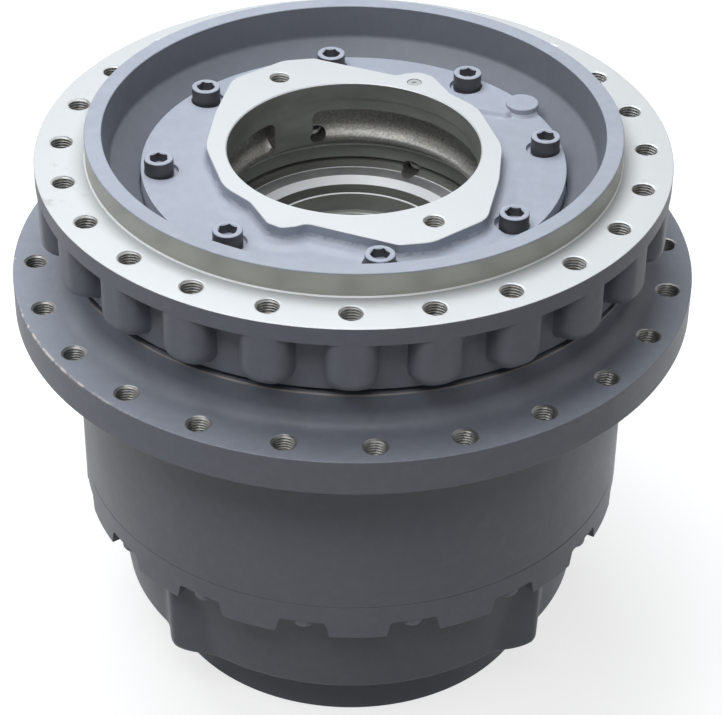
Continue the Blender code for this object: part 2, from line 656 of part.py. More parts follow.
def make_hub(frame):
    """Turning casting: seal collar, sprocket flange, machined land and drum."""
    land_foot = FLANGE_FOOT_Z - SPROCKET_LAND_HEIGHT
    fillet = [(COLLAR_RADIUS + COLLAR_FILLET * (1 - math.cos(angle)),
               FLANGE_TOP_Z + COLLAR_FILLET * (1 - math.sin(angle)))
              for angle in (0.0, math.pi / 4, math.pi / 2)]
    outline = [
        (0.0, COLLAR_TOP_Z),
        (COLLAR_RADIUS, COLLAR_TOP_Z),
        *fillet,
        (SPROCKET_FLANGE_RADIUS, FLANGE_TOP_Z),
        (SPROCKET_FLANGE_RADIUS, FLANGE_FOOT_Z),
        (SPROCKET_LAND_RADIUS, FLANGE_FOOT_Z),
        (SPROCKET_LAND_RADIUS, land_foot),
        (DRUM_RADIUS, land_foot - SPROCKET_LAND_STEP),
        (DRUM_RADIUS, PARTING_Z),
        (0.0, PARTING_Z),
    ]
    body = make_object("hub", turned(outline, SIDES, -HUB_TURN), PAINT, frame)
    race = BEARING_OUTER_RADIUS + FIT
    upper_foot = UPPER_BEARING_Z - FIT
    lower_top = LOWER_BEARING_Z + BEARING_WIDTH + FIT
    relief = race + CAVITY_RELIEF
    shoulder = BEARING_OUTER_RADIUS - BEARING_SHOULDER
    ring_top = OUTPUT_CARRIER_Z + RUN + FIT
    cavity = [
        (0.0, COLLAR_TOP_Z + OVERRUN),
        (SEAL_OUTER_RADIUS + FIT, COLLAR_TOP_Z + OVERRUN),
        (SEAL_OUTER_RADIUS + FIT, SEAL_FACE_Z - SEAL_SEAT_DEPTH),
        (SEAL_INNER_RADIUS - FIT, SEAL_FACE_Z - SEAL_SEAT_DEPTH),
        (SEAL_INNER_RADIUS - FIT, COLLAR_TOP_Z - COLLAR_LIP),
        (race, COLLAR_TOP_Z - COLLAR_LIP),
        (race, upper_foot),
        (shoulder, upper_foot),
        (shoulder, lower_top),
        (race, lower_top),
        (race, LOWER_BEARING_Z),
        (relief, LOWER_BEARING_Z - CAVITY_RELIEF),
        (relief, ring_top),
        (OUTPUT_RING_RADIUS + FIT, ring_top),
        (OUTPUT_RING_RADIUS + FIT, PARTING_Z - OVERRUN),
        (0.0, PARTING_Z - OVERRUN),
    ]
    combine(body, make_object("hub_cavity_form", turned(cavity, INNER_SIDES), None, frame), "DIFFERENCE")
    holes = around(lambda: bore(SPROCKET_HOLE_RADIUS, FLANGE_FOOT_Z - OVERRUN, FLANGE_TOP_Z + OVERRUN),
                   SPROCKET_HOLE_CIRCLE, SPROCKET_HOLE_COUNT)
    combine(body, make_object("sprocket_hole_form", holes, None, frame), "DIFFERENCE")
    depth = COVER_BOLT_LENGTH + DRILL_REST
    holes = around(lambda: bore(COVER_BOLT_RADIUS + SLACK, PARTING_Z - OVERRUN,
                                bolt_seat_z() + depth, BOLT_SIDES),
                   COVER_BOLT_CIRCLE, COVER_BOLT_COUNT, COVER_BOLT_TURN)
    combine(body, make_object("cover_thread_form", holes, None, frame), "DIFFERENCE")
    return body


def bolt_seat_z():
    """Height of the notch roofs that the cover bolts' heads bear on."""
    return PARTING_Z - COVER_FLANGE_HEIGHT + COVER_NOTCH_DEPTH


def notch():
    """Cutter for one bolt notch in the cover flange, wider at its mouth."""
    mouth = COVER_NOTCH_MOUTH_WIDTH / 2
    roof = COVER_NOTCH_ROOF_WIDTH / 2
    foot = PARTING_Z - COVER_FLANGE_HEIGHT
    near = DRUM_RADIUS - COVER_TAB_REACH - COVER_NOTCH_BITE
    far = DRUM_RADIUS + OVERRUN
    shape = bmesh.new()
    side = [(-mouth, foot - MM), (mouth, foot - MM), (roof, bolt_seat_z()),
            (-roof, bolt_seat_z())]
    base = shape.faces.new([shape.verts.new((x, -near, z)) for x, z in side])
    grown = bmesh.ops.extrude_face_region(shape, geom=[base])
    moved = [item for item in grown["geom"] if isinstance(item, bmesh.types.BMVert)]
    bmesh.ops.translate(shape, verts=moved, vec=(0, near - far, 0))
    return shape


def make_cover(frame):
    """Deep end cover with a notched flange, four ribs and a foot disc."""
    flange_foot = PARTING_Z - COVER_FLANGE_HEIGHT
    top = PARTING_Z - FIT
    outline = [
        (0.0, top),
        (DRUM_RADIUS, top),
        (DRUM_RADIUS, flange_foot),
        (COVER_BODY_HEAD_RADIUS, flange_foot),
        (COVER_BODY_FOOT_RADIUS, COVER_FOOT_HEIGHT + COVER_BODY_EDGE),
        (COVER_BODY_FOOT_RADIUS - COVER_BODY_EDGE, COVER_FOOT_HEIGHT),
        (COVER_FOOT_RADIUS, COVER_FOOT_HEIGHT - COVER_FOOT_EDGE),
        (COVER_FOOT_RADIUS, 0.0),
        (0.0, 0.0),
    ]
    body = make_object("cover", turned(outline), PAINT, frame)
    notches = []
    for index in range(COVER_BOLT_COUNT):
        angle = COVER_BOLT_TURN + 2 * math.pi * index / COVER_BOLT_COUNT
        notches.append(place(notch(), 0.0, 0.0, angle))
    combine(body, make_object("notch_form", join(notches), None, frame), "DIFFERENCE")
    half = COVER_RIB_WIDTH / 2
    rib_root = COVER_BODY_FOOT_RADIUS - COVER_WALL / 2
    rib = [(-half, -rib_root), (half, -rib_root),
           (0.35 * half, -COVER_RIB_REACH), (-0.35 * half, -COVER_RIB_REACH)]
    rib_turn = COVER_BOLT_TURN + math.pi / COVER_BOLT_COUNT + math.radians(22.5)
    ribs = []
    for index in range(COVER_RIB_COUNT):
        angle = rib_turn + 2 * math.pi * index / COVER_RIB_COUNT
        ribs.append(place(prism(rib, COVER_FOOT_HEIGHT + FIT, flange_foot + 2 * ROOT),
                          0.0, 0.0, angle))
    combine(body, make_object("rib_form", join(ribs), None, frame), "UNION")
    holes = around(lambda: bore(COVER_BOLT_RADIUS + SLACK, bolt_seat_z() - OVERRUN,
                                PARTING_Z + OVERRUN, BOLT_SIDES),
                   COVER_BOLT_CIRCLE, COVER_BOLT_COUNT, COVER_BOLT_TURN)
    combine(body, make_object("cover_bolt_form", holes, None, frame), "DIFFERENCE")
    step = [(0.0, COVER_FLOOR + OVERRUN), (DRAIN_PLUG_RADIUS + SLACK, COVER_FLOOR + OVERRUN),
            (DRAIN_PLUG_RADIUS + SLACK, DRAIN_PLUG_SINK), (DRAIN_PLUG_HEAD + RUN, DRAIN_PLUG_SINK),
            (DRAIN_PLUG_HEAD + RUN, -OVERRUN), (0.0, -OVERRUN)]
    plugs = join([place(turned(step, HOLE_SIDES, math.pi / HOLE_SIDES), x, y)
                  for _, x, y in plug_places()])
    combine(body, make_object("plug_hole_form", plugs, None, frame), "DIFFERENCE")
    ring_seat = FIRST_RING_RADIUS + FIT
    inner = COVER_FOOT_RADIUS - COVER_WALL
    cavity = [
        (0.0, PARTING_Z + OVERRUN),
        (OUTPUT_RING_RADIUS + FIT, PARTING_Z + OVERRUN),
        (OUTPUT_RING_RADIUS + FIT, PARTING_Z - RING_SPIGOT - FIT),
        (COVER_BODY_HEAD_RADIUS - 1.5 * COVER_WALL, PARTING_Z - RING_SPIGOT - FIT),
        (COVER_BODY_HEAD_RADIUS - 1.5 * COVER_WALL, flange_foot),
        (ring_seat, FIRST_CARRIER_Z),
        (ring_seat, FIRST_GEAR_Z - GEAR_PLAY),
        (inner, FIRST_GEAR_Z - GEAR_PLAY),
        (inner, COVER_FLOOR),
        (THRUST_PAD_RADIUS, COVER_FLOOR),
        (THRUST_PAD_RADIUS, FIRST_GEAR_Z - RUN - FIT),
        (0.0, FIRST_GEAR_Z - RUN - FIT),
    ]
    combine(body, make_object("cover_cavity_form", turned(cavity, INNER_SIDES), None, frame),
            "DIFFERENCE")
    return body


def plug_places():
    """Names and places of the oil plugs in the foot disc."""
    circle = 0.68 * COVER_FOOT_RADIUS
    return [("drain_plug", *on_circle(circle, 0.0)), ("level_plug", *on_circle(circle, math.pi))]


def make_oil_plugs(frame):
    """Flush oil plugs in the cover's foot, held clear of the ground."""
    seat = DRAIN_PLUG_SINK - FIT
    outline = [(0.0, DRAIN_PLUG_LENGTH), (DRAIN_PLUG_RADIUS, DRAIN_PLUG_LENGTH),
               (DRAIN_PLUG_RADIUS, seat), (DRAIN_PLUG_HEAD, seat), (DRAIN_PLUG_HEAD, MM),
               (0.0, MM)]
    for name, x, y in plug_places():
        plug = turned(outline, HOLE_SIDES, math.pi / HOLE_SIDES)
        make_object(name, place(plug, x, y), STEEL, frame)


def make_cover_bolts(frame):
    """Hexagon-head bolts through the notched flange into the drum."""
    seat = bolt_seat_z() - FIT
    for index in range(COVER_BOLT_COUNT):
        angle = COVER_BOLT_TURN + 2 * math.pi * index / COVER_BOLT_COUNT
        name = f"cover_bolt_{index + 1:02d}"
        head = prism(polygon(COVER_BOLT_FLATS / math.sqrt(3), 6), seat - COVER_BOLT_HEAD, seat)
        bolt = make_object(name, head, STEEL, frame)
        shank = make_object(f"bolt_shank_form_{index + 1:02d}",
                            bore(COVER_BOLT_RADIUS, seat - MM, seat + COVER_BOLT_LENGTH,
                                 BOLT_SIDES),
                            None, frame)
        combine(bolt, shank, "UNION")
        x, y = on_circle(COVER_BOLT_CIRCLE, angle)
        for thing in (bolt, shank):
            thing.location = (x, y, 0.0)
            thing.rotation_euler = (0.0, 0.0, angle)


def make_ring_gears(frame):
    """The output ring gear seated in the drum and the first one seated in the cover."""
    bottom = PARTING_Z - RING_SPIGOT
    top = OUTPUT_CARRIER_Z + RUN
    turn = ring_turn(OUTPUT_SUN_TEETH, OUTPUT_PLANET_TEETH, OUTPUT_RING_TEETH)
    teeth = gear_outline(OUTPUT_MODULE, OUTPUT_RING_TEETH, turn - HUB_TURN, False)
    body = make_object("output_ring_gear",
                       disc(OUTPUT_RING_RADIUS, bottom, top, INNER_SIDES), STEEL, frame)
    combine(body, make_object("output_ring_form", prism(teeth, bottom - OVERRUN, top + OVERRUN), None,
                              frame), "DIFFERENCE")
    turn = ring_turn(FIRST_SUN_TEETH, FIRST_PLANET_TEETH, FIRST_RING_TEETH)
    teeth = gear_outline(FIRST_MODULE, FIRST_RING_TEETH, turn - HUB_TURN, False)
    bottom = FIRST_GEAR_Z - GEAR_PLAY + FIT
    top = FIRST_GEAR_Z + FIRST_FACE_WIDTH
    body = make_object("first_ring_gear", disc(FIRST_RING_RADIUS, bottom, top, INNER_SIDES),
                       STEEL, frame)
    combine(body, make_object("first_ring_form", prism(teeth, bottom - OVERRUN, top + OVERRUN), None,
                              frame), "DIFFERENCE")


def make_bearing(name, bottom, sense, frame, roller_frame):
    """One tapered bearing; sense is +1 where the rollers' thick ends are at the top."""
    middle = bottom + BEARING_WIDTH / 2
    radius = (BEARING_BORE_RADIUS + BEARING_OUTER_RADIUS) / 2
    slope = (RACE_THICK - RACE_THIN) / BEARING_WIDTH
    half = BEARING_WIDTH / 2
    inner = BEARING_BORE_RADIUS
    outer = BEARING_OUTER_RADIUS
    rib_foot = ROLLER_LENGTH / 2 + FIT
    cone_at_rib = inner + RACE_THIN + slope * (half + rib_foot)
    cone = [(inner, -half), (inner + RACE_THIN, -half), (cone_at_rib, rib_foot),
            (radius + MM, rib_foot), (radius + MM, half), (inner, half)]
    cup = [(outer, -half), (outer - RACE_THICK, -half), (outer - RACE_THIN, half), (outer, half)]
    drift = slope * ROLLER_LENGTH / 2
    roller = [(radius + side * ROLLER_RADIUS + end * drift, end * ROLLER_LENGTH / 2)
              for side, end in ((1, 1), (1, -1), (-1, -1), (-1, 1))]
    for piece, outline, parent in (("inner_race", cone, None), ("outer_race", cup, frame),
                                   ("rollers", roller, roller_frame)):
        section = [(x, middle + sense * z) for x, z in outline]
        make_object(f"{name}_{piece}", turned(section, INNER_SIDES), STEEL, parent)


def make_bearing_nut():
    """Slotted ring nut that clamps the bearings on the spindle."""
    body = make_object("bearing_nut", ring(SPINDLE_THREAD_RADIUS + FIT, NUT_RADIUS, NUT_Z,
                                           NUT_Z + NUT_HEIGHT, INNER_SIDES), STEEL)
    wide = NUT_SLOT_WIDTH / 2

    def slot():
        points = [(-wide, -NUT_SLOT_DEPTH), (wide, -NUT_SLOT_DEPTH), (wide, NUT_SLOT_DEPTH),
                  (-wide, NUT_SLOT_DEPTH)]
        return prism(points, NUT_Z - OVERRUN, NUT_Z + 0.6 * NUT_HEIGHT)

    slots = around(slot, NUT_RADIUS, NUT_SLOT_COUNT)
    combine(body, make_object("nut_slot_form", slots), "DIFFERENCE")


def seal_half(name, sense, frame):
    """A metal seal ring and its rubber toric ring; sense is +1 above the seal face."""
    face = SEAL_FACE_Z + sense * FIT
    inner = SEAL_INNER_RADIUS + RUN
    rim = inner + SEAL_RING_WIDTH
    back = face + sense * SEAL_RING_HEIGHT
    waist = face + sense * SEAL_RING_RIM
    neck = inner + SEAL_RING_NECK
    metal = [(inner, face), (rim, face), (rim, waist), (neck, back), (inner, back)]
    make_object(f"seal_ring_{name}", turned(metal, INNER_SIDES), BLACK_STEEL, frame)
    middle = face + sense * (SEAL_RING_HEIGHT + SEAL_TORIC_LIFT)
    half = SEAL_TORIC_WIDTH / 2
    centre = SEAL_OUTER_RADIUS - half
    rubber = [(centre + half, middle + half), (centre + half, middle - half),
              (centre - half, middle - half), (centre - half, middle + half)]
    make_object(f"seal_toric_{name}", turned(rubber, INNER_SIDES), RUBBER, frame)


def make_output_stage():
    """Fixed carrier, its pins and the three planets that drive the hub's ring gear."""
    collar_top = NUT_Z - FIT
    tunnel = OUTPUT_MODULE * (OUTPUT_SUN_TEETH / 2 + TIP_HEIGHT) + RUN
    rim = OUTPUT_CENTRE + OUTPUT_PIN_RADIUS + OUTPUT_CARRIER_RIM
    outline = [
        (rim, collar_top),
        (rim, OUTPUT_CARRIER_Z),
        (tunnel, OUTPUT_CARRIER_Z),
        (tunnel, SPINDLE_END_Z - FIT),
        (SPINDLE_END_RADIUS + FIT, SPINDLE_END_Z - FIT),
        (SPINDLE_END_RADIUS + FIT, collar_top),
    ]
    body = make_object("output_carrier", turned(outline, INNER_SIDES), STEEL)
    pin_foot = OUTPUT_GEAR_Z - GEAR_PLAY
    pin_top = SPINDLE_END_Z - 2 * FIT
    holes = around(lambda: disc(OUTPUT_PIN_RADIUS + FIT, pin_foot, SPINDLE_END_Z - FIT + ROOT,
                                PIN_SIDES), OUTPUT_CENTRE, PLANET_COUNT, math.pi / 2)
    combine(body, make_object("output_pin_form", holes), "DIFFERENCE")
    for index in range(PLANET_COUNT):
        angle = 2 * math.pi * index / PLANET_COUNT
        place_x = OUTPUT_CENTRE * math.cos(angle)
        place_y = OUTPUT_CENTRE * math.sin(angle)
        pin = make_object(f"output_pin_{index + 1}",
                          disc(OUTPUT_PIN_RADIUS, pin_foot, pin_top, PIN_SIDES), STEEL)
        turn = planet_turn(OUTPUT_SUN_TEETH, OUTPUT_PLANET_TEETH, angle)
        teeth = gear_outline(OUTPUT_MODULE, OUTPUT_PLANET_TEETH, turn)
        planet = make_object(f"output_planet_{index + 1}",
                             prism(teeth, OUTPUT_GEAR_Z, OUTPUT_GEAR_Z + OUTPUT_FACE_WIDTH),
                             STEEL)
        eye = make_object(f"output_planet_form_{index + 1}",
                          running_bore(OUTPUT_PIN_RADIUS + FIT, OUTPUT_GEAR_Z - OVERRUN,
                                       OUTPUT_GEAR_Z + OUTPUT_FACE_WIDTH + OVERRUN))
        combine(planet, eye, "DIFFERENCE")
        for thing in (pin, planet, eye):
            thing.location = (place_x, place_y, 0.0)


def make_first_stage():
    """First carrier with the output sun on it, its pins and planets, and the input shaft."""
    rim = FIRST_CENTRE + FIRST_PIN_RADIUS + FIRST_CARRIER_RIM
    carrier_top = FIRST_CARRIER_Z + FIRST_CARRIER_THICKNESS
    carrier = make_object("first_carrier", disc(rim, FIRST_CARRIER_Z, carrier_top, INNER_SIDES),
                          STEEL)
    sun_top = OUTPUT_GEAR_Z + OUTPUT_FACE_WIDTH
    stem_radius = OUTPUT_MODULE * (OUTPUT_SUN_TEETH / 2 - ROOT_DEPTH) - MM
    stem = disc(stem_radius, carrier_top - ROOT, OUTPUT_GEAR_Z + ROOT, PIN_SIDES)
    combine(carrier, make_object("stem_form", stem), "UNION")
    sun = prism(gear_outline(OUTPUT_MODULE, OUTPUT_SUN_TEETH), OUTPUT_GEAR_Z, sun_top)
    combine(carrier, make_object("output_sun_form", sun), "UNION")
    tunnel = disc(SHAFT_BORE_RADIUS, FIRST_CARRIER_Z - OVERRUN, sun_top + OVERRUN, PIN_SIDES)
    combine(carrier, make_object("shaft_bore_form", tunnel), "DIFFERENCE")
    pin_foot = FIRST_GEAR_Z - RUN
    pin_top = carrier_top - ROOT
    holes = around(lambda: disc(FIRST_PIN_RADIUS + FIT, pin_foot, pin_top + FIT, PIN_SIDES),
                   FIRST_CENTRE, PLANET_COUNT, math.pi / 2)
    combine(carrier, make_object("first_pin_form", holes), "DIFFERENCE")
    for index in range(PLANET_COUNT):
        angle = 2 * math.pi * index / PLANET_COUNT
        place_x = FIRST_CENTRE * math.cos(angle)
        place_y = FIRST_CENTRE * math.sin(angle)
        pin = make_object(f"first_pin_{index + 1}",
                          disc(FIRST_PIN_RADIUS, pin_foot, pin_top, PIN_SIDES), STEEL)
        turn = planet_turn(FIRST_SUN_TEETH, FIRST_PLANET_TEETH, angle)
        teeth = gear_outline(FIRST_MODULE, FIRST_PLANET_TEETH, turn)
        planet = make_object(f"first_planet_{index + 1}",
                             prism(teeth, FIRST_GEAR_Z, FIRST_GEAR_Z + FIRST_FACE_WIDTH), STEEL)
        eye = make_object(f"first_planet_form_{index + 1}",
                          running_bore(FIRST_PIN_RADIUS + FIT, FIRST_GEAR_Z - OVERRUN,
                                       FIRST_GEAR_Z + FIRST_FACE_WIDTH + OVERRUN))
        combine(planet, eye, "DIFFERENCE")
        for thing in (pin, planet, eye):
            thing.location = (place_x, place_y, 0.0)
    teeth = gear_outline(FIRST_MODULE, FIRST_SUN_TEETH)
    shaft = make_object("input_shaft",
                        prism(teeth, FIRST_GEAR_Z - RUN, FIRST_GEAR_Z + FIRST_FACE_WIDTH),
                        STEEL)
    shaft_top = MOTOR_FLOOR_Z + INPUT_SHAFT_REACH
    stem = disc(INPUT_SHAFT_RADIUS, FIRST_GEAR_Z + ROOT, shaft_top, PIN_SIDES)
    combine(shaft, make_object("shaft_form", stem), "UNION")


def build():
    """Makes every piece in its place."""
    clear_scene()
    hub_frame = make_empty("hub_frame", HUB_TURN)
    upper_rollers = make_empty("upper_roller_frame", 0.0)
    lower_rollers = make_empty("lower_roller_frame", 0.0)
    make_mount_housing()
    make_motor_housing()
    make_motor_screws()
    make_port_plug()
    make_hub(hub_frame)
    make_cover(hub_frame)
    make_oil_plugs(hub_frame)
    make_cover_bolts(hub_frame)
    make_ring_gears(hub_frame)
    make_bearing("upper_bearing", UPPER_BEARING_Z, 1, hub_frame, upper_rollers)
    make_bearing("lower_bearing", LOWER_BEARING_Z, -1, hub_frame, lower_rollers)
    make_bearing_nut()
    seal_half("fixed", 1, None)
    seal_half("turning", -1, hub_frame)
    make_output_stage()
    make_first_stage()
    bpy.context.view_layer.update()


build()
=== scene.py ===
"""Looks of the excavator final drive: fine castings, machined faces, threads, paint, light and camera."""
import math

import bpy
import bmesh
import numpy as np
from mathutils import Matrix, Vector


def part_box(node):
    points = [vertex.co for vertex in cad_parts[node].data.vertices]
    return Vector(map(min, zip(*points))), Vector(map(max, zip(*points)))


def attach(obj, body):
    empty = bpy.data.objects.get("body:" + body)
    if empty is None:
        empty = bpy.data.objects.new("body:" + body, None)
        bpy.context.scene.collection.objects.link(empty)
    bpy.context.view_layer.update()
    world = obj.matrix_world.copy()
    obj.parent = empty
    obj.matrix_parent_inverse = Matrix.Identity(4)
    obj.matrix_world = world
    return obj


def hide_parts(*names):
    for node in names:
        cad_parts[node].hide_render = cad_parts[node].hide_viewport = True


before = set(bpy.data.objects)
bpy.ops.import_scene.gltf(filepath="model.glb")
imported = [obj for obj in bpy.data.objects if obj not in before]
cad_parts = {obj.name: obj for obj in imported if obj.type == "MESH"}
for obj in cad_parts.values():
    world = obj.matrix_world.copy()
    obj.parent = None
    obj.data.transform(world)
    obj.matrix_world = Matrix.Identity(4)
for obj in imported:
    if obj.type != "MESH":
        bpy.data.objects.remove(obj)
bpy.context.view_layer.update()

MM = 0.001

# Heights that come from the frame
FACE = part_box("motor_housing")[1].z
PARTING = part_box("hub")[0].z
COLLAR_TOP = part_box("hub")[1].z
PILOT_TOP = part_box("mount_housing")[1].z
SPINDLE_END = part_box("mount_housing")[0].z
CASE_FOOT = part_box("motor_housing")[0].z
HUB_TURN = math.radians(4.1)

# Facet counts, and the angle over which an edge stays sharp
RING_SIDES = 480
SKIN_SIDES = 960
BORE_SIDES = 240
HOLE_SIDES = 48
THREAD_SIDES = 36
HEAD_SIDES = 64
SHARP_ANGLE = math.radians(28)

# Mount housing outside: pilot, flange and rim, then the wall and its cast bosses
PILOT_RADIUS = 219.5 * MM
PILOT_CHAMFER = 1.1 * MM
MOUTH_RADIUS = 205.5 * MM
RIM_RADIUS = 261 * MM
RIM_HEIGHT = 15.5 * MM
RIM_COVE = 4 * MM
RIM_BLEND = 1 * MM
RIM_INSET = 0.15 * MM
MOUNT_DEPTH = 68 * MM
WALL_RADIUS = 240 * MM
WALL_LIP = 2.2 * MM
WALL_BLEND = 3 * MM
WALL_LEVELS = 34
BOSS_RADIUS = 20.8 * MM
BOSS_REACH = 22.6 * MM
BOSS_CIRCLE = 239.6 * MM
BOSS_LIFT = 5 * MM
BOSS_DOME = 17 * MM
BOSS_POWER = 2.6
BOSS_NARROWEST = 0.25
FLANK_SLOPE = 6.0
BOTTOM_SLOPE = 3.0
FLANGE_HOLES = 24
FRAME_CIRCLE = 240 * MM
FRAME_HOLE_DEPTH = 42 * MM

# Mount housing inside: throat, seat of the motor disc, seal, spindle and tunnel
FIT = 0.3 * MM
THROAT_RADIUS = 200 * MM
THROAT_DROP = 6.5 * MM
LIP_DROP = 27.5 * MM
DISC_DROP = 13.5 * MM
DISC_RADIUS = 175 * MM
DISC_GAP = 1.2 * MM
DISC_SEAT_DROP = 35.5 * MM
SEAL_INNER = 200.5 * MM
SEAL_LEDGE = 5 * MM
SPINDLE_SHOULDER = 163 * MM
SHOULDER_DROP = 16 * MM
BEARING_SEAT = 144.7 * MM
SPINDLE_THREAD = 138 * MM
THREAD_TOP = 33 * MM
SPINDLE_NOSE = 130 * MM
NOSE_LENGTH = 18 * MM
TUNNEL = 45 * MM
BARREL_SEAT = 107 * MM
CASE_STEP = FACE - 100 * MM
CASE_BORE = 131.2 * MM

# Motor housing: socket screws, forms of the cast top, port plug
SCREW_COUNT = 8
SCREW_CIRCLE = 160 * MM
SCREW_TURN = math.radians(7.5)
SCREW_HEAD = 16 * MM
SCREW_KEY = 14 * MM
SCREW_SINK = 3.2 * MM
SPOT_SHIFT = 1.8 * MM
FACE_COVE = 5 * MM
RIDGE_RISE = 1.8 * MM
RIB_RISE = 4 * MM
ROOT_RISE = 2.5 * MM
CAST_BOSS_RADIUS = 14 * MM
CAST_BOSS_HEIGHT = 7 * MM
BOSS_PLACE = (142.8 * MM, 86.5 * MM)
PORT_PLACE = (51 * MM, 106.7 * MM)
FACE_HOLE_PLACE = (63.9 * MM, -112.8 * MM)
FACE_HOLE_DEPTH = 34 * MM

# Motor bore: radius and depth below the raised face of its turned section and of its cast pockets
BORE_STEPS = (
    (104.5, -0.9), (104.5, -15.2), (105.1, -15.5), (105.1, -57), (118.6, -62.5), (118.6, -67.6),
    (117.8, -68), (117.5, -68.8), (115.6, -79.6), (121.5, -80), (121.5, -82.6), (115.4, -83),
    (115.4, -86), (109.2, -86), (108.4, -86.5), (98.4, -88.2), (92.4, -94), (92.4, -97.5),
    (91, -110), (85, -110), (83.4, -97), (82.8, -96.4), (81.9, -96.4), (81.4, -97), (81.4, -113.2),
    (77.0, -113.6), (76.2, -114.2), (76, -148), (0, -148),
)
POCKET_STEPS = ((100, -26), (115, -26), (117.6, -29), (118.4, -38), (118, -45), (115.5, -51),
                (111.5, -55.4), (108.2, -57.2), (100, -57.4))
POCKET_COUNT = 3
POCKET_TURN = math.radians(30)
POCKET_WIDTH = math.radians(100)
POCKET_ROUND = 6 * MM
POCKET_PINCH = 0.28
BORE_RADIUS = 105 * MM

# Slanted oil holes: name, x, y, depth and radius; then what they share
OIL_HOLES = (("oil_hole_upper", -27.5 * MM, 92 * MM, 49.5 * MM, 8.2 * MM),
             ("oil_hole_lower", 46 * MM, 95 * MM, 80 * MM, 8.0 * MM))
OIL_START = 96 * MM
OIL_LENGTH = 34 * MM
OIL_TILT = math.radians(100)
OIL_FLATTEN = 0.78

# Turned edges in the bore given a painted highlight: inner and outer radius, lower and upper depth, in
# millimetres
HIGHLIGHT_BANDS = ((117, 119, 69.5, 67.5), (108.2, 109.5, 87, 85.5), (92.2, 98.6, 94.5, 88), (81, 84, 98, 96),
                (80, 81.6, 114, 112.8))

# Half of the raised motor face: x, y and corner radius in millimetres, turned for the rest
FACE_CORNERS = (
    (-26, -122.5, 14), (36, -147.5, 9), (62, -143, 24), (105, -109, 24), (117, -50, 90),
    (122, 3, 60), (104, 65, 45), (81.5, 88, 22), (67, 118, 8), (56, 125, 10), (44, 122.6, 10),
    (36, 118.4, 10),
)
RIB_CORNERS = ((90, 84, 4), (104, 79.5, 4), (130, 72, 2), (147, 98, 2), (112, 108, 10), (92, 104, 6))

# Hub
COLLAR_RADIUS = 241 * MM
COLLAR_FILLET = 15 * MM
SPROCKET_CIRCLE = 266.3 * MM
SPROCKET_RADIUS = 285.4 * MM
SPROCKET_HEIGHT = 31 * MM
FLANGE_TOP = COLLAR_TOP - 30 * MM
FLANGE_FOOT = FLANGE_TOP - SPROCKET_HEIGHT
LAND_RADIUS = 239 * MM
DRUM_RADIUS = 235.8 * MM
HUB_INSIDE = 219.85 * MM

# Cover: castellated flange, body, its four broad ribs, foot disc and plugs
TAB_FOOT = PARTING - 33 * MM
NOTCH_ROOF = PARTING - 18 * MM
NOTCH_MOUTH_HALF = 22.8 * MM
NOTCH_ROOF_HALF = 19.2 * MM
BOLT_CIRCLE = 225.5 * MM
BOLT_COUNT = 16
BOLT_TURN = math.radians(9.05)
BOLT_FLATS = 19 * MM
BOLT_HEAD = 8 * MM
COVER_STEP = 57 * MM
COVER_HEAD_RADIUS = 213 * MM
COVER_LOW_RADIUS = 202 * MM
COVER_FOOT = 170 * MM
COVER_LEVELS = 18
RIB_TURN = math.radians(42.8)
RIB_RADIUS = 219.5 * MM
RIB_GROWTH = 3 * MM
RIB_FLANK = 0.74
RIB_CREST = 5 * MM
RIB_BLEND = 6 * MM
RIB_DEPTH = 17 * MM
PLUG_CIRCLE = 0.68 * 168 * MM
PLUG_KEY = 12 * MM

# M20 thread as it is cut: outer and inner radius, pitch, mouth; and the raised face's smaller one
THREAD_MAJOR = 10.1 * MM
THREAD_MINOR = 8.6 * MM
THREAD_PITCH = 2.5 * MM
THREAD_ROWS = 8
THREAD_MOUTH = 0.35 * MM
THREAD_START = 0.6 * MM
FACE_THREAD = (9.1 * MM, 7.8 * MM)


def rounded(corners, steps=6, closed=True):
    """Puts an arc of the given radius on each corner (x, y, radius) of an outline."""
    points = []
    count = len(corners)
    for index, (x, y, radius) in enumerate(corners):
        here = Vector((x, y))
        if radius <= 0 or not closed and index in (0, count - 1):
            points.append((x, y))
            continue
        before = Vector(corners[index - 1][:2]) - here
        after = Vector(corners[(index + 1) % count][:2]) - here
        half = before.angle(after) / 2
        reach = min(radius / math.tan(half), 0.49 * before.length, 0.49 * after.length)
        start = here + before.normalized() * reach
        stop = here + after.normalized() * reach
        centre = here + (before.normalized() + after.normalized()).normalized() * reach / math.cos(half)
        first = start - centre
        turn = first.angle_signed(stop - centre)
        for step in range(steps + 1):
            arm = first.copy()
            arm.rotate(Matrix.Rotation(-turn * step / steps, 2))
            points.append(tuple(centre + arm))
    return points


def section(base, *corners):
    """Corners in metres from millimetres: radius, height over a base, and any corner radius."""
    return [(radius * MM, base + height * MM, *(edge * MM for edge in edges))
            for radius, height, *edges in corners]


def make_mesh(name, verts, faces):
    """A mesh object with its faces pointing out."""
    mesh = bpy.data.meshes.new(name)
    mesh.from_pydata(verts, [], faces)
    shape = bmesh.new()
    shape.from_mesh(mesh)
    bmesh.ops.recalc_face_normals(shape, faces=shape.faces)
    shape.to_mesh(mesh)
    shape.free()
    thing = bpy.data.objects.new(name, mesh)
    bpy.context.scene.collection.objects.link(thing)
    return thing


def even(sides):
    """Equal steps of angle round a full turn."""
    return [2 * math.pi * step / sides for step in range(sides)]


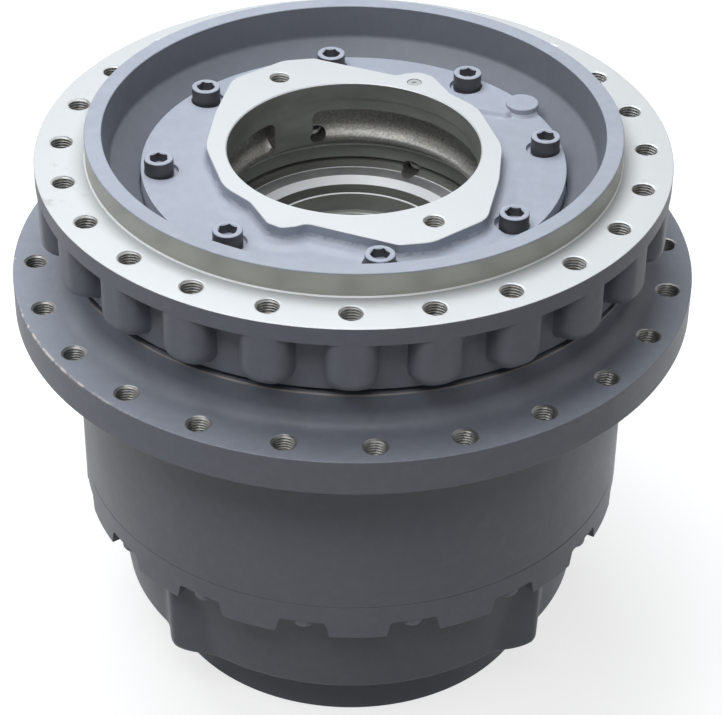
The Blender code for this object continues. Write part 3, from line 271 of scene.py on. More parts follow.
def swept(name, outline_at, angles):
    """A closed ring body whose section (radius, height) may change with the angle from -Y."""
    verts = []
    rows = []
    for angle in angles:
        section = outline_at(angle)
        rows.append(range(len(verts), len(verts) + len(section)))
        verts += [(radius * math.sin(angle), -radius * math.cos(angle), height) for radius, height in section]
    faces = []
    for here, beyond in zip(rows, rows[1:] + rows[:1]):
        for index in range(len(here)):
            follow = (index + 1) % len(here)
            faces.append((here[index], here[follow], beyond[follow], beyond[index]))
    return make_mesh(name, verts, faces)


def lathe(name, outline, sides):
    """Spins a closed section of (radius, height) points; points on the axis become one vertex."""
    verts = []
    rows = []
    for radius, height in outline:
        if radius < 1e-9:
            rows.append([len(verts)] * sides)
            verts.append((0.0, 0.0, height))
            continue
        rows.append(list(range(len(verts), len(verts) + sides)))
        verts += [(radius * math.sin(angle), -radius * math.cos(angle), height) for angle in even(sides)]
    faces = []
    for here, below in zip(rows, rows[1:] + rows[:1]):
        for step in range(sides):
            beyond = (step + 1) % sides
            face = list(dict.fromkeys((here[step], below[step], below[beyond], here[beyond])))
            if len(face) > 2:
                faces.append(face)
    return make_mesh(name, verts, faces)


def bands(rows, count):
    """Faces between neighbouring rows of a body whose rows follow each other in its vertices."""
    faces = []
    for row in range(rows - 1):
        low, high = row * count, (row + 1) * count
        for index in range(count):
            follow = (index + 1) % count
            faces.append((low + index, low + follow, high + follow, high + index))
    return faces


def inset(outline, amount):
    """Moves a closed outline inward along its corner normals."""
    points = np.array(outline)
    along = np.roll(points, -1, 0) - np.roll(points, 1, 0)
    along /= np.linalg.norm(along, axis=1)[:, None]
    normal = np.stack([-along[:, 1], along[:, 0]], 1)
    ahead = np.roll(points, -1, 0)
    area = (points[:, 0] * ahead[:, 1] - ahead[:, 0] * points[:, 1]).sum()
    return points + normal * amount * (1 if area > 0 else -1)


def prism(name, outline, bottom, top, edge=0.0, foot_edge=0.0):
    """Extrudes a closed (x, y) outline, with a chamfer on its top and foot edges."""
    levels = []
    if foot_edge > 0:
        levels.append((bottom, foot_edge))
    levels += [(bottom + foot_edge, 0.0), (top - edge, 0.0)]
    if edge > 0:
        levels.append((top, edge))
    verts = []
    for height, amount in levels:
        ring = inset(outline, amount) if amount > 0 else outline
        verts += [(x, y, height) for x, y in ring]
    count = len(outline)
    ends = [list(range(count)), list(range(len(verts) - count, len(verts)))]
    return make_mesh(name, verts, ends + bands(len(levels), count))


def copies(thing, count, circle, turn=0.0):
    """Joins copies of an object set round a circle, each turned to face outward."""
    shape = bmesh.new()
    for index in range(count):
        angle = turn + 2 * math.pi * index / count
        mesh = thing.data.copy()
        move = Matrix.Translation((circle * math.sin(angle), -circle * math.cos(angle), 0))
        mesh.transform(move @ Matrix.Rotation(angle, 4, "Z"))
        shape.from_mesh(mesh)
        bpy.data.meshes.remove(mesh)
    shape.to_mesh(thing.data)
    shape.free()
    return thing


def move(thing, x, y):
    """Shifts an object's mesh sideways."""
    thing.data.transform(Matrix.Translation((x, y, 0)))
    return thing


def combine(target, tool, operation):
    """Cuts or unites at once, and keeps the tool's material on the faces that it makes."""
    modifier = target.modifiers.new("combine", "BOOLEAN")
    modifier.operation = operation
    modifier.solver = "MANIFOLD"
    modifier.object = tool
    modifier.material_mode = "TRANSFER"
    bpy.context.view_layer.update()
    graph = bpy.context.evaluated_depsgraph_get()
    mesh = bpy.data.meshes.new_from_object(target.evaluated_get(graph))
    target.modifiers.clear()
    old = target.data
    name = old.name
    target.data = mesh
    bpy.data.meshes.remove(old)
    mesh.name = name
    bpy.data.objects.remove(tool, do_unlink=True)


def dress(thing, material):
    """Gives an object one material on every face."""
    thing.data.materials.clear()
    thing.data.materials.append(material)
    return thing


def smooth(thing):
    """Smooth shading that keeps real edges and flat faces."""
    thing.data.shade_smooth()
    thing.data.set_sharp_from_angle(angle=SHARP_ANGLE)
    modifier = thing.modifiers.new("normals", "WEIGHTED_NORMAL")
    modifier.keep_sharp = True
    return thing


def paint_faces(thing, material, rule):
    """Gives a material to the faces that a rule of radius, height and upward normal picks."""
    mesh = thing.data
    if material.name not in mesh.materials:
        mesh.materials.append(material)
    slot = mesh.materials.find(material.name)
    count = len(mesh.polygons)
    centre = np.zeros(count * 3)
    normal = np.zeros(count * 3)
    mesh.polygons.foreach_get("center", centre)
    mesh.polygons.foreach_get("normal", normal)
    centre = centre.reshape(-1, 3)
    chosen = rule(np.hypot(centre[:, 0], centre[:, 1]), centre[:, 2], normal.reshape(-1, 3)[:, 2])
    index = np.zeros(count, np.int32)
    mesh.polygons.foreach_get("material_index", index)
    index[chosen] = slot
    mesh.polygons.foreach_set("material_index", index)


def fill_in(node, values):
    """Sets constants on a node's sockets."""
    for name, value in values.items():
        node.inputs[name].default_value = value


class Shader:
    """A Principled material with short calls for its nodes."""

    def __init__(self, name, roughness, metallic=0.0, specular=0.5):
        self.material = bpy.data.materials.new(name)
        self.material.use_nodes = True
        self.tree = self.material.node_tree
        self.surface = self.tree.nodes["Principled BSDF"]
        fill_in(self.surface, {"Roughness": roughness, "Metallic": metallic, "Specular IOR Level": specular})
        self.place = self.tree.nodes.new("ShaderNodeTexCoord").outputs["Object"]

    def node(self, kind, **values):
        """Adds a node and sets its properties by name."""
        made = self.tree.nodes.new(kind)
        for name, value in values.items():
            setattr(made, name, value)
        return made

    def link(self, source, target):
        if hasattr(source, "is_output"):
            self.tree.links.new(source, target)
        else:
            target.default_value = source

    def math(self, operation, first, second=0.0):
        made = self.node("ShaderNodeMath", operation=operation)
        self.link(first, made.inputs[0])
        self.link(second, made.inputs[1])
        return made.outputs[0]

    def noise(self, scale, detail=3.0, roughness=0.55, stretch=(1, 1, 1), offset=(0, 0, 0)):
        mapping = self.node("ShaderNodeMapping")
        fill_in(mapping, {"Scale": stretch, "Location": offset})
        self.link(self.place, mapping.inputs["Vector"])
        made = self.node("ShaderNodeTexNoise")
        fill_in(made, {"Scale": scale, "Detail": detail, "Roughness": roughness})
        self.link(mapping.outputs[0], made.inputs["Vector"])
        return made.outputs["Fac"]

    def spread(self, value, low, high, start=0.0, stop=1.0):
        """Maps a range of a value to another range, held at its ends."""
        made = self.node("ShaderNodeMapRange", clamp=True)
        for index, number in enumerate((low, high, start, stop)):
            made.inputs[index + 1].default_value = number
        self.link(value, made.inputs[0])
        return made.outputs[0]

    def mix(self, share, first, second):
        made = self.node("ShaderNodeMix", data_type="RGBA")
        self.link(share, made.inputs[0])
        self.link((*first, 1.0) if isinstance(first, tuple) else first, made.inputs[6])
        self.link((*second, 1.0) if isinstance(second, tuple) else second, made.inputs[7])
        return made.outputs[2]

    def polar(self):
        """Radius, height and angle of the shaded point about the turning axis."""
        split = self.node("ShaderNodeSeparateXYZ")
        self.link(self.place, split.inputs[0])
        x, y, z = split.outputs
        radius = self.math("SQRT", self.math("ADD", self.math("MULTIPLY", x, x), self.math("MULTIPLY", y, y)))
        return radius, z, self.math("ARCTAN2", x, self.math("MULTIPLY", y, -1.0))

    def bump(self, height, strength, distance):
        made = self.node("ShaderNodeBump")
        fill_in(made, {"Strength": strength, "Distance": distance})
        self.link(height, made.inputs["Height"])
        self.link(made.outputs[0], self.surface.inputs["Normal"])

    def finish(self, colour, roughness=None):
        self.link(colour, self.surface.inputs["Base Color"])
        if roughness is not None:
            self.link(roughness, self.surface.inputs["Roughness"])
        return self.material


PAINT = (0.41, 0.435, 0.505)
PAINT_DARK = (0.355, 0.375, 0.435)
PAINT_PALE = (0.50, 0.525, 0.60)
BARE = (0.66, 0.675, 0.68)
STAIN = (0.40, 0.39, 0.35)
# Bare metal of the flange's scratches, also the painted highlight on the collar's top edge
WORN_PAINT_AND_HIGHLIGHT = (0.78, 0.68, 0.62)

# Angles between which the flange's worn edge fades in and out, and the machined faces' fine rings
WORN_START = (-1.35, -1.2)
WORN_END = (-0.85, -0.6)
RING_WAVES = 2600.0
RING_DEPTH = 0.00004


def paint_material(name, grain, grain_depth, wear_and_highlight=None, tone=1.0, gloss=0.5):
    """Satin blue-grey paint over a casting or a machined face, a little dusty."""
    shader = Shader(name, gloss, 0.0, 0.4)
    cloud = shader.noise(7.0, 4.0)
    fleck = shader.noise(90.0, 3.0)
    dark, plain, pale = [tuple(tone * part for part in shade) for shade in (PAINT_DARK, PAINT, PAINT_PALE)]
    colour = shader.mix(shader.spread(cloud, 0.3, 0.7), dark, plain)
    colour = shader.mix(shader.spread(fleck, 0.45, 0.8, 0.0, 0.35), colour, pale)
    # Scratched bare metal, and a painted highlight, where the mask picks them
    if wear_and_highlight is not None:
        colour = shader.mix(wear_and_highlight(shader), colour, WORN_PAINT_AND_HIGHLIGHT)
    shader.bump(shader.noise(grain, 4.0, 0.6), 0.6, grain_depth)
    return shader.finish(colour, shader.spread(cloud, 0.3, 0.7, gloss - 0.06, gloss + 0.08))


def flange_wear_and_collar_highlight(shader):
    """Scratches to bare metal on the sprocket flange's upper edge, front left and sparse elsewhere; painted
    highlight on the collar's edge.
    """
    radius, height, angle = shader.polar()
    edge = shader.math("ADD", shader.math("ABSOLUTE", shader.math("SUBTRACT", radius, SPROCKET_RADIUS)),
                       shader.math("ABSOLUTE", shader.math("SUBTRACT", height, FLANGE_TOP)))
    near = shader.spread(edge, 0.0008, 0.0026, 1.0, 0.0)
    worn = shader.spread(angle, *WORN_START, 0.0, 1.0)
    worn = shader.math("MULTIPLY", worn, shader.spread(angle, *WORN_END, 1.0, 0.0))
    ragged = shader.spread(shader.noise(60.0, 5.0, 0.7), 0.47, 0.56)
    lively = shader.math("MULTIPLY", shader.math("MULTIPLY", near, ragged), worn)
    sparse = shader.math("MULTIPLY", near, shader.spread(shader.noise(24.0, 5.0, 0.7), 0.66, 0.72))
    # Painted highlight: a pale line along the collar's top edge
    collar = shader.math("ADD", shader.math("ABSOLUTE", shader.math("SUBTRACT", radius, COLLAR_RADIUS)),
                         shader.math("ABSOLUTE", shader.math("SUBTRACT", height, COLLAR_TOP)))
    collar = shader.math("MULTIPLY", shader.spread(collar, 0.0006, 0.0016, 0.75, 0.0),
                         shader.spread(shader.noise(30.0, 4.0), 0.35, 0.55, 0.4, 1.0))
    return shader.math("MAXIMUM", shader.math("MAXIMUM", lively, sparse), collar)


def machined_material(name, tone, stain, rough, metal=0.3, root=None):
    """Bare turned iron: fine rings, a few stains, cloudy tarnish and a ring of painted shade at a root."""
    shader = Shader(name, rough, metal, 0.3)
    radius, height, _ = shader.polar()
    wander = shader.noise(3.0, 2.0)
    phase = shader.math("MULTIPLY", shader.math("ADD", radius, height), RING_WAVES)
    wave = shader.math("SINE", phase)
    fine = shader.math("ADD", wave, shader.noise(320.0, 2.0))
    shader.bump(fine, 0.35, RING_DEPTH)
    cloud = shader.noise(9.0, 5.0, 0.6, offset=(0.3, 0.1, 0.0))
    spots = shader.noise(38.0, 4.0, 0.6, offset=(1.1, 0.4, 0.0))
    dull = tuple(0.80 * part for part in tone)
    colour = shader.mix(shader.spread(cloud, 0.35, 0.75, 0.0, 0.6), tone, dull)
    # Painted shade: darker towards the root, in the corner where the face meets a wall
    if root is not None:
        near = shader.spread(shader.math("ADD", radius, shader.math("MULTIPLY", cloud, 0.014)),
                             root, root + 0.016, 0.75, 0.0)
        colour = shader.mix(near, colour, tuple(0.62 * part for part in tone))
    share = shader.math("MULTIPLY", shader.spread(spots, 0.62, 0.72), shader.spread(wander, 0.4, 0.6))
    colour = shader.mix(shader.math("MULTIPLY", share, 0.55), colour, stain)
    roughness = shader.spread(cloud, 0.3, 0.7, rough - 0.05, rough + 0.1)
    return shader.finish(colour, roughness)


def bore_material():
    """Oily machined bore with cloudy streaks round the wall."""
    shader = Shader("oily_bore", 0.34, 0.35)
    cloud = shader.noise(12.0, 5.0, 0.6, (1, 1, 3))
    shader.bump(shader.noise(260.0, 2.0, 0.5, (0.2, 0.2, 6)), 0.3, 0.00004)
    colour = shader.mix(shader.spread(cloud, 0.3, 0.7), (0.24, 0.245, 0.225), (0.38, 0.385, 0.36))
    return shader.finish(colour, shader.spread(cloud, 0.3, 0.7, 0.28, 0.42))


def cast_bore_material():
    """Rough cast cove in the bore's pockets, wet with oil."""
    shader = Shader("cast_bore", 0.32, 0.55)
    grain = shader.noise(520.0, 3.0, 0.6)
    shader.bump(grain, 0.6, 0.0005)
    colour = shader.mix(shader.spread(grain, 0.3, 0.75), (0.20, 0.20, 0.185), (0.44, 0.43, 0.40))
    return shader.finish(colour, 0.3)


def steel_material(name, tone, rough):
    """Plain steel of small parts, with a slight cloud in tone and gloss."""
    shader = Shader(name, rough, 0.6)
    cloud = shader.noise(40.0, 4.0)
    shader.bump(shader.noise(300.0, 3.0), 0.25, 0.0002)
    dark = tuple(0.72 * part for part in tone)
    colour = shader.mix(shader.spread(cloud, 0.3, 0.7), dark, tone)
    return shader.finish(colour, shader.spread(cloud, 0.3, 0.7, rough - 0.06, rough + 0.08))


def rubber_material():
    """Matt black rubber."""
    shader = Shader("black_rubber", 0.7)
    cloud = shader.noise(60.0, 3.0)
    return shader.finish(shader.mix(cloud, (0.018, 0.018, 0.018), (0.035, 0.035, 0.036)))


CAST_PAINT = paint_material("cast_paint", 260.0, 0.0006, None, 0.74)
# A darker copy of the paint for the cover body below the flange tabs: painted shade
SHADED_COVER_PAINT = paint_material("cover_paint", 260.0, 0.0005, None, 0.66)
# A darker copy of the paint for the recess inside the pilot ring: painted shade
SHADED_INNER_PAINT = paint_material("inner_painted_shade", 500.0, 0.0002, None, 0.44)
SMOOTH_PAINT = paint_material("smooth_paint", 500.0, 0.0002, None, 1.0, 0.42)
HUB_PAINT = paint_material("hub_paint", 420.0, 0.0003, flange_wear_and_collar_highlight, 0.76, 0.44)
BOLT_PAINT = paint_material("bolt_paint", 420.0, 0.0003, None, 1.0)
# The flange top carries painted shade near the pilot's foot
FLANGE_METAL = machined_material("flange_metal", BARE, STAIN, 0.42, root=PILOT_RADIUS + 6 * MM)
SIDE_METAL = machined_material("pilot_side_metal", (0.50, 0.50, 0.45), (0.24, 0.235, 0.22), 0.42)
FACE_METAL = machined_material("motor_face_metal", BARE, STAIN, 0.42)
# Pale metal for turned edges and chamfers: a painted highlight
HIGHLIGHT_METAL = machined_material("painted_highlight_metal", (0.93, 0.94, 0.94), (0.7, 0.7, 0.68), 0.36, metal=0.1)
BORE_METAL = bore_material()
CAST_BORE = cast_bore_material()
THREAD_STEEL = steel_material("thread_steel", (0.38, 0.375, 0.36), 0.36)
SCREW_STEEL = paint_material("screw_paint", 500.0, 0.0002, None, 1.05, 0.46)
# A paler copy of the bore's steel for an up-facing ledge: painted light
LEDGE_PAINTED_LIGHT_METAL = steel_material("ledge_painted_light_metal", (0.45, 0.455, 0.45), 0.42)
SCREW_SIDE = steel_material("screw_side", (0.12, 0.118, 0.122), 0.5)
GEAR_STEEL = steel_material("gear_steel", (0.45, 0.45, 0.44), 0.3)
SEAL_IRON = steel_material("seal_iron", (0.16, 0.16, 0.16), 0.35)
RUBBER = rubber_material()


def soft_max(first, second, reach):
    """The larger of two numbers, with the change between them rounded over a reach."""
    share = max(reach - abs(first - second), 0.0) / reach
    return max(first, second) + share * share * reach / 4


def boss_skin(angle, height):
    """Radius of the mount's cast skin: 24 domed bosses, flush with the rim, on a plain wall."""
    pitch = 2 * math.pi / FLANGE_HOLES
    offset = abs(angle - round(angle / pitch) * pitch)
    bottom = FACE - MOUNT_DEPTH + BOSS_LIFT
    drop = min(max(bottom + BOSS_DOME - height, 0.0) / BOSS_DOME, 1.0)
    dome = (1 - drop ** BOSS_POWER) ** (1 / BOSS_POWER)
    side = BOSS_CIRCLE * math.sin(offset)
    half = BOSS_RADIUS * (BOSS_NARROWEST + (1 - BOSS_NARROWEST) * dome)
    share = min(side / half, 1.0)
    reach = BOSS_CIRCLE * math.cos(offset) + BOSS_REACH * dome * (1 - share ** BOSS_POWER) ** (1 / BOSS_POWER)
    reach -= FLANK_SLOPE * max(side - half, 0.0) + BOTTOM_SLOPE * max(bottom - height, 0.0)
    under = FACE - RIM_HEIGHT - height
    cove = RIM_COVE - math.sqrt(max(RIM_COVE ** 2 - max(RIM_COVE - under, 0.0) ** 2, 0.0))
    skin = soft_max(reach, WALL_RADIUS + cove, WALL_BLEND)
    return -soft_max(-skin, RIM_INSET - RIM_RADIUS, RIM_BLEND)


def boss_angles():
    """Angles round the mount, close together on the flanks of the bosses."""
    pitch = 2 * math.pi / FLANGE_HOLES
    arcs = [math.radians(turn) for turn in (9, 18, 27, 36, 45, 53, 60, 66, 72, 77, 82, 86, 90)]
    half = [math.asin(BOSS_RADIUS * math.sin(turn) / BOSS_CIRCLE) for turn in arcs]
    half += [half[-1] + (pitch / 2 - half[-1]) * share for share in (0.07, 0.16, 0.3, 0.5, 0.75)]
    steps = [-turn for turn in reversed(half)] + [0.0] + half + [pitch / 2]
    return [index * pitch + step for index in range(FLANGE_HOLES) for step in steps]


def mount_outline(angle):
    """Section of the mount housing at an angle: pilot, flange, boss skin, spindle, disc seat."""
    foot = FACE - MOUNT_DEPTH
    rim_foot = FACE - RIM_HEIGHT
    skin = boss_skin(angle, rim_foot)
    edge = min(0.8 * MM, 0.45 * (RIM_RADIUS - skin))
    top = [(THROAT_RADIUS, FACE - THROAT_DROP, 0), (MOUTH_RADIUS, PILOT_TOP, 1 * MM),
           (PILOT_RADIUS, PILOT_TOP, 1.2 * MM), (PILOT_RADIUS, FACE + PILOT_CHAMFER, 0),
           (PILOT_RADIUS + PILOT_CHAMFER, FACE, 0), (RIM_RADIUS, FACE, 0.8 * MM),
           (RIM_RADIUS, rim_foot, edge), (skin, rim_foot, 0)]
    outline = rounded(top, 3, False)[1:-1]
    lip = foot - WALL_LIP
    for step in range(WALL_LEVELS + 1):
        height = rim_foot + (lip - rim_foot) * step / WALL_LEVELS
        outline.append((boss_skin(angle, height), height))
    outline += [(WALL_RADIUS - 8 * MM, lip), (WALL_RADIUS - 10 * MM, foot)]
    ledge, shoulder = foot - SEAL_LEDGE, foot - SHOULDER_DROP
    thread_top, nose_top = SPINDLE_END + THREAD_TOP, SPINDLE_END + NOSE_LENGTH
    case_foot, case_step, seat = CASE_FOOT - FIT, CASE_STEP - FIT, FACE - DISC_SEAT_DROP - FIT
    rest = [(SEAL_INNER, foot, 0.8 * MM), (SEAL_INNER - 4 * MM, ledge, 0), (SPINDLE_SHOULDER, ledge, 3 * MM),
            (SPINDLE_SHOULDER, shoulder, 0), (BEARING_SEAT, shoulder, 1 * MM),
            (BEARING_SEAT, thread_top, 1 * MM), (SPINDLE_THREAD, thread_top, 0),
            (SPINDLE_THREAD, nose_top, 1 * MM), (SPINDLE_NOSE, nose_top, 0),
            (SPINDLE_NOSE, SPINDLE_END, 1.5 * MM), (TUNNEL, SPINDLE_END, 1 * MM), (TUNNEL, case_foot, 0),
            (BARREL_SEAT, case_foot, 0), (BARREL_SEAT, case_step, 0), (CASE_BORE, case_step, 0),
            (CASE_BORE, seat, 0), (DISC_RADIUS + DISC_GAP, seat, 0),
            (DISC_RADIUS + DISC_GAP, FACE - LIP_DROP, 0.5 * MM),
            (THROAT_RADIUS, FACE - THROAT_DROP, 6 * MM), (MOUTH_RADIUS, PILOT_TOP, 0)]
    return outline + rounded(rest, 4, False)[:-1]


def tapped_hole(name, top, depth, through=False, major=THREAD_MAJOR, minor=THREAD_MINOR):
    """Cutter for a tapped hole: a countersunk mouth, a helical thread and a drilled end."""
    mouth = major + THREAD_MOUTH
    rows = int(depth / THREAD_PITCH * THREAD_ROWS)

    def outline(angle):
        points = [(1e-6, top + 2 * MM), (mouth, top + 2 * MM), (mouth, top)]
        for row in range(rows + 1):
            drop = THREAD_START + (depth - THREAD_START) * row / rows
            turn = (drop / THREAD_PITCH + angle / (2 * math.pi)) % 1.0
            ridge = min(1.0, max(0.0, 2.6 * abs(turn - 0.5) - 0.15))
            points.append((minor + (major - minor) * ridge, top - drop))
        if through:
            points += [(mouth, top - depth - THREAD_START), (mouth, top - depth - 3 * MM),
                       (1e-6, top - depth - 3 * MM)]
        else:
            points.append((1e-6, top - depth - 0.5 * minor))
        return points

    return dress(swept(name, outline, even(THREAD_SIDES)), THREAD_STEEL)


def make_mount():
    """Mount housing: fine casting with machined flange, tapped holes and screw holes."""
    body = dress(swept("mount_casting", mount_outline, boss_angles()), CAST_PAINT)
    holes = copies(tapped_hole("frame_threads", FACE, FRAME_HOLE_DEPTH), FLANGE_HOLES, FRAME_CIRCLE)
    combine(body, holes, "DIFFERENCE")
    screw = section(FACE, (0, -30), (8.6, -30), (8.6, -68), (0, -72))
    screw = dress(lathe("screw_thread_form", screw, HOLE_SIDES), THREAD_STEEL)
    combine(body, copies(screw, SCREW_COUNT, SCREW_CIRCLE, SCREW_TURN), "DIFFERENCE")
    paint_faces(body, SMOOTH_PAINT, lambda r, z, up: (r < PILOT_RADIUS + 1e-4) & (z > FACE - 40 * MM)
                & ~((r > PILOT_RADIUS - 2 * MM) & (z < PILOT_TOP - 1.5 * MM) & (r > MOUTH_RADIUS + 2 * MM)))
    # Painted shade: the darker paint copy on the pilot's inner wall and throat
    paint_faces(body, SHADED_INNER_PAINT, lambda r, z, up: (r < MOUTH_RADIUS - 0.1 * MM) & (r > DISC_RADIUS)
                & (z > FACE - LIP_DROP - 5 * MM) & (z < PILOT_TOP - 0.5 * MM))
    paint_faces(body, SIDE_METAL, lambda r, z, up: (r > PILOT_RADIUS - 1.2 * MM) & (r < PILOT_RADIUS + 1e-4)
                & (z > FACE + 1 * MM) & (z < PILOT_TOP - 1 * MM))
    paint_faces(body, FLANGE_METAL, lambda r, z, up: (r > PILOT_RADIUS + 1 * MM) & (z > FACE - 1 * MM)
                & (z < FACE + 0.3 * MM) & (up > 0.3))
    # Painted highlight: a pale line on the chamfer at the pilot's foot
    paint_faces(body, HIGHLIGHT_METAL, lambda r, z, up: (r > PILOT_RADIUS - 1e-4) & (r < PILOT_RADIUS + 1 * MM)
                & (z > FACE) & (z < FACE + 1 * MM) & (up > 0.3))
    return smooth(body)


def face_outline(steps=8):
    """Outline of the raised motor face, in metres."""
    half = [(x * MM, y * MM, radius * MM) for x, y, radius in FACE_CORNERS]
    return rounded(half + [(-x, -y, radius) for x, y, radius in half], steps)


def outline_distance(points, outline):
    """Signed distance of points from a closed outline, negative inside."""
    start = np.array(outline)
    along = np.roll(start, -1, 0) - start
    arm = points[:, None] - start[None]
    share = np.clip((arm * along[None]).sum(2) / (along * along).sum(1)[None], 0, 1)
    gap = np.linalg.norm(arm - share[..., None] * along[None], axis=2).min(1)
    ahead = start + along
    crosses = (start[None, :, 1] > points[:, None, 1]) != (ahead[None, :, 1] > points[:, None, 1])
    slope = along[:, 0] / np.where(np.abs(along[:, 1]) < 1e-12, 1e-12, along[:, 1])
    left = points[:, None, 0] < slope[None] * (points[:, None, 1] - start[None, :, 1]) + start[None, :, 0]
    inside = (crosses & left).sum(1) % 2 == 1
    return np.where(inside, -gap, gap)


def ease(value, low, high):
    """A smooth step from 1 below low to 0 above high."""
    share = np.clip((value - low) / (high - low), 0, 1)
    return 1 - share * share * (3 - 2 * share)


def disc_heights(points):
    """Rise of the motor disc's cast top: cove and soft ridge at the raised face, and the boss's rib."""
    gap = outline_distance(points, face_outline(4))
    across = np.clip(FACE_COVE - gap, 0, FACE_COVE)
    cove = FACE_COVE - np.sqrt(np.clip(FACE_COVE ** 2 - across ** 2, 0, None))
    front = ease(points[:, 1], -60 * MM, 0.0)
    ridge = RIDGE_RISE * ease(gap, 7 * MM, 17 * MM) * front
    corners = [(x * MM, y * MM, radius * MM) for x, y, radius in RIB_CORNERS]
    rib = RIB_RISE * ease(outline_distance(points, rounded(corners, 4)), -1.5 * MM, 2.5 * MM)
    boss_gap = np.hypot(points[:, 0] - BOSS_PLACE[0], points[:, 1] - BOSS_PLACE[1]) - CAST_BOSS_RADIUS
    root = ROOT_RISE * ease(boss_gap, 0, 3 * MM)
    return np.maximum.reduce([cove + ridge, rib, root])


def bore_outline():
    """The motor bore's turned section, from above the raised face to the bore's floor."""
    return section(FACE, (0, 5), (105.4, 5), (105.4, 0), *BORE_STEPS)


def sector(name, outline, middle, width, steps):
    """A body spun from a section over part of a turn, its ends drawn in to round the corners."""
    verts = []
    count = len(outline)
    centre_height = sum(height for _, height in outline) / count
    for step in range(steps + 1):
        share = step / steps
        angle = middle + width * (share - 0.5)
        end = min(share, 1 - share) * width * BORE_RADIUS
        pinch = 1 - POCKET_PINCH * (1 - min(end / POCKET_ROUND, 1.0)) ** 2
        for radius, height in outline:
            level = centre_height + (height - centre_height) * pinch
            verts.append((radius * math.sin(angle), -radius * math.cos(angle), level))
    ends = [list(range(count)), list(range(len(verts) - count, len(verts)))]
    return make_mesh(name, verts, ends + bands(steps + 1, count))


def make_motor_case():
    """Motor housing: cast disc, raised machined face, boss, stepped bore with pockets and oil holes."""
    disc = FACE - DISC_DROP
    seat = FACE - DISC_SEAT_DROP
    radii = np.linspace(DISC_RADIUS - 1.2 * MM, 70 * MM, 64)
    angles = np.array(even(BORE_SIDES * 3))
    grid = np.stack([np.outer(np.sin(angles), radii), -np.outer(np.cos(angles), radii)], -1)
    rise = disc_heights(grid.reshape(-1, 2)).reshape(grid.shape[:2])

    def outline(angle):
        step = int(round(angle / (2 * math.pi) * len(angles))) % len(angles)
        top = [(radius, disc + lift) for radius, lift in zip(radii, rise[step])]
        rim = [(CASE_BORE - 1.2 * MM, CASE_STEP), (CASE_BORE - 1.2 * MM, seat), (DISC_RADIUS, seat),
               (DISC_RADIUS, disc - 0.8 * MM), (DISC_RADIUS - 0.3 * MM, disc - 0.2 * MM)]
        foot = [(1 * MM, disc), (1 * MM, CASE_FOOT), (105 * MM, CASE_FOOT), (105 * MM, CASE_STEP)]
        return rim + top + foot

    body = dress(swept("motor_case", outline, angles), SMOOTH_PAINT)
    face = dress(prism("face_form", face_outline(), disc - 3 * MM, FACE, 0.5 * MM), SMOOTH_PAINT)
    combine(body, face, "UNION")
    foot, top = FACE - LIP_DROP + 1.5 * MM, disc + CAST_BOSS_HEIGHT
    boss = [(0, foot, 0), (CAST_BOSS_RADIUS, foot, 0), (CAST_BOSS_RADIUS, top, 1 * MM), (0, top, 0)]
    boss = rounded(boss, 4)
    combine(body, move(dress(lathe("boss_form", boss, HOLE_SIDES), SMOOTH_PAINT), *BOSS_PLACE), "UNION")
    combine(body, dress(lathe("bore_form", bore_outline(), BORE_SIDES), BORE_METAL), "DIFFERENCE")
    for index in range(POCKET_COUNT):
        middle = POCKET_TURN + 2 * math.pi * index / POCKET_COUNT
        cut = sector(f"pocket_form_{index}", section(FACE, *POCKET_STEPS), middle, POCKET_WIDTH, 60)
        combine(body, dress(cut, CAST_BORE), "DIFFERENCE")
    spot = rounded(section(disc, (0, 20, 0), (14.2, 20, 0), (14.2, -3.5, 1), (0, -3.5, 0)), 4)
    spot = dress(lathe("spot_form", spot, HOLE_SIDES), SMOOTH_PAINT)
    combine(body, copies(spot, SCREW_COUNT, SCREW_CIRCLE - SPOT_SHIFT, SCREW_TURN), "DIFFERENCE")
    shank = [(0, disc), (8.9 * MM, disc), (8.9 * MM, seat - 5 * MM), (0, seat - 5 * MM)]
    shank = dress(lathe("shank_form", shank, HOLE_SIDES), THREAD_STEEL)
    combine(body, copies(shank, SCREW_COUNT, SCREW_CIRCLE, SCREW_TURN), "DIFFERENCE")
    for index, side in enumerate((1, -1)):
        hole = tapped_hole(f"face_hole_{index}", FACE, FACE_HOLE_DEPTH, False, *FACE_THREAD)
        combine(body, move(hole, *(side * part for part in FACE_HOLE_PLACE)), "DIFFERENCE")
    port = section(FACE, (0, 3), (6.6, 3), (6.3, -0.5), (6.3, -10.3), (0, -10.3))
    port = dress(lathe("port_form", port, HOLE_SIDES), THREAD_STEEL)
    combine(body, move(port, *PORT_PLACE), "DIFFERENCE")
    tunnel = section(FACE, (0, -140), (26, -140)) + section(CASE_FOOT, (26, -5), (0, -5))
    combine(body, dress(lathe("tunnel_form", tunnel, HOLE_SIDES), BORE_METAL), "DIFFERENCE")
    for hole in OIL_HOLES:
        combine(body, dress(oil_hole(*hole), CAST_BORE), "DIFFERENCE")
    paint_faces(body, FACE_METAL, lambda r, z, up: (z > FACE - 1.0 * MM) & (up > 0.3))
    # Painted light: the up-facing ledge gets paler metal than the bore wall
    paint_faces(body, LEDGE_PAINTED_LIGHT_METAL, lambda r, z, up: (r < 109 * MM) & (r > 98 * MM)
                & (z < FACE - 86.2 * MM) & (z > FACE - 89 * MM))
    # Painted highlight on the bore's turned edges and its cone
    for inner, outer, low, high in HIGHLIGHT_BANDS:
        paint_faces(body, HIGHLIGHT_METAL, lambda r, z, up: (r > inner * MM) & (r < outer * MM)
                    & (z > FACE - low * MM) & (z < FACE - high * MM) & (up > 0.1))
    return smooth(body)


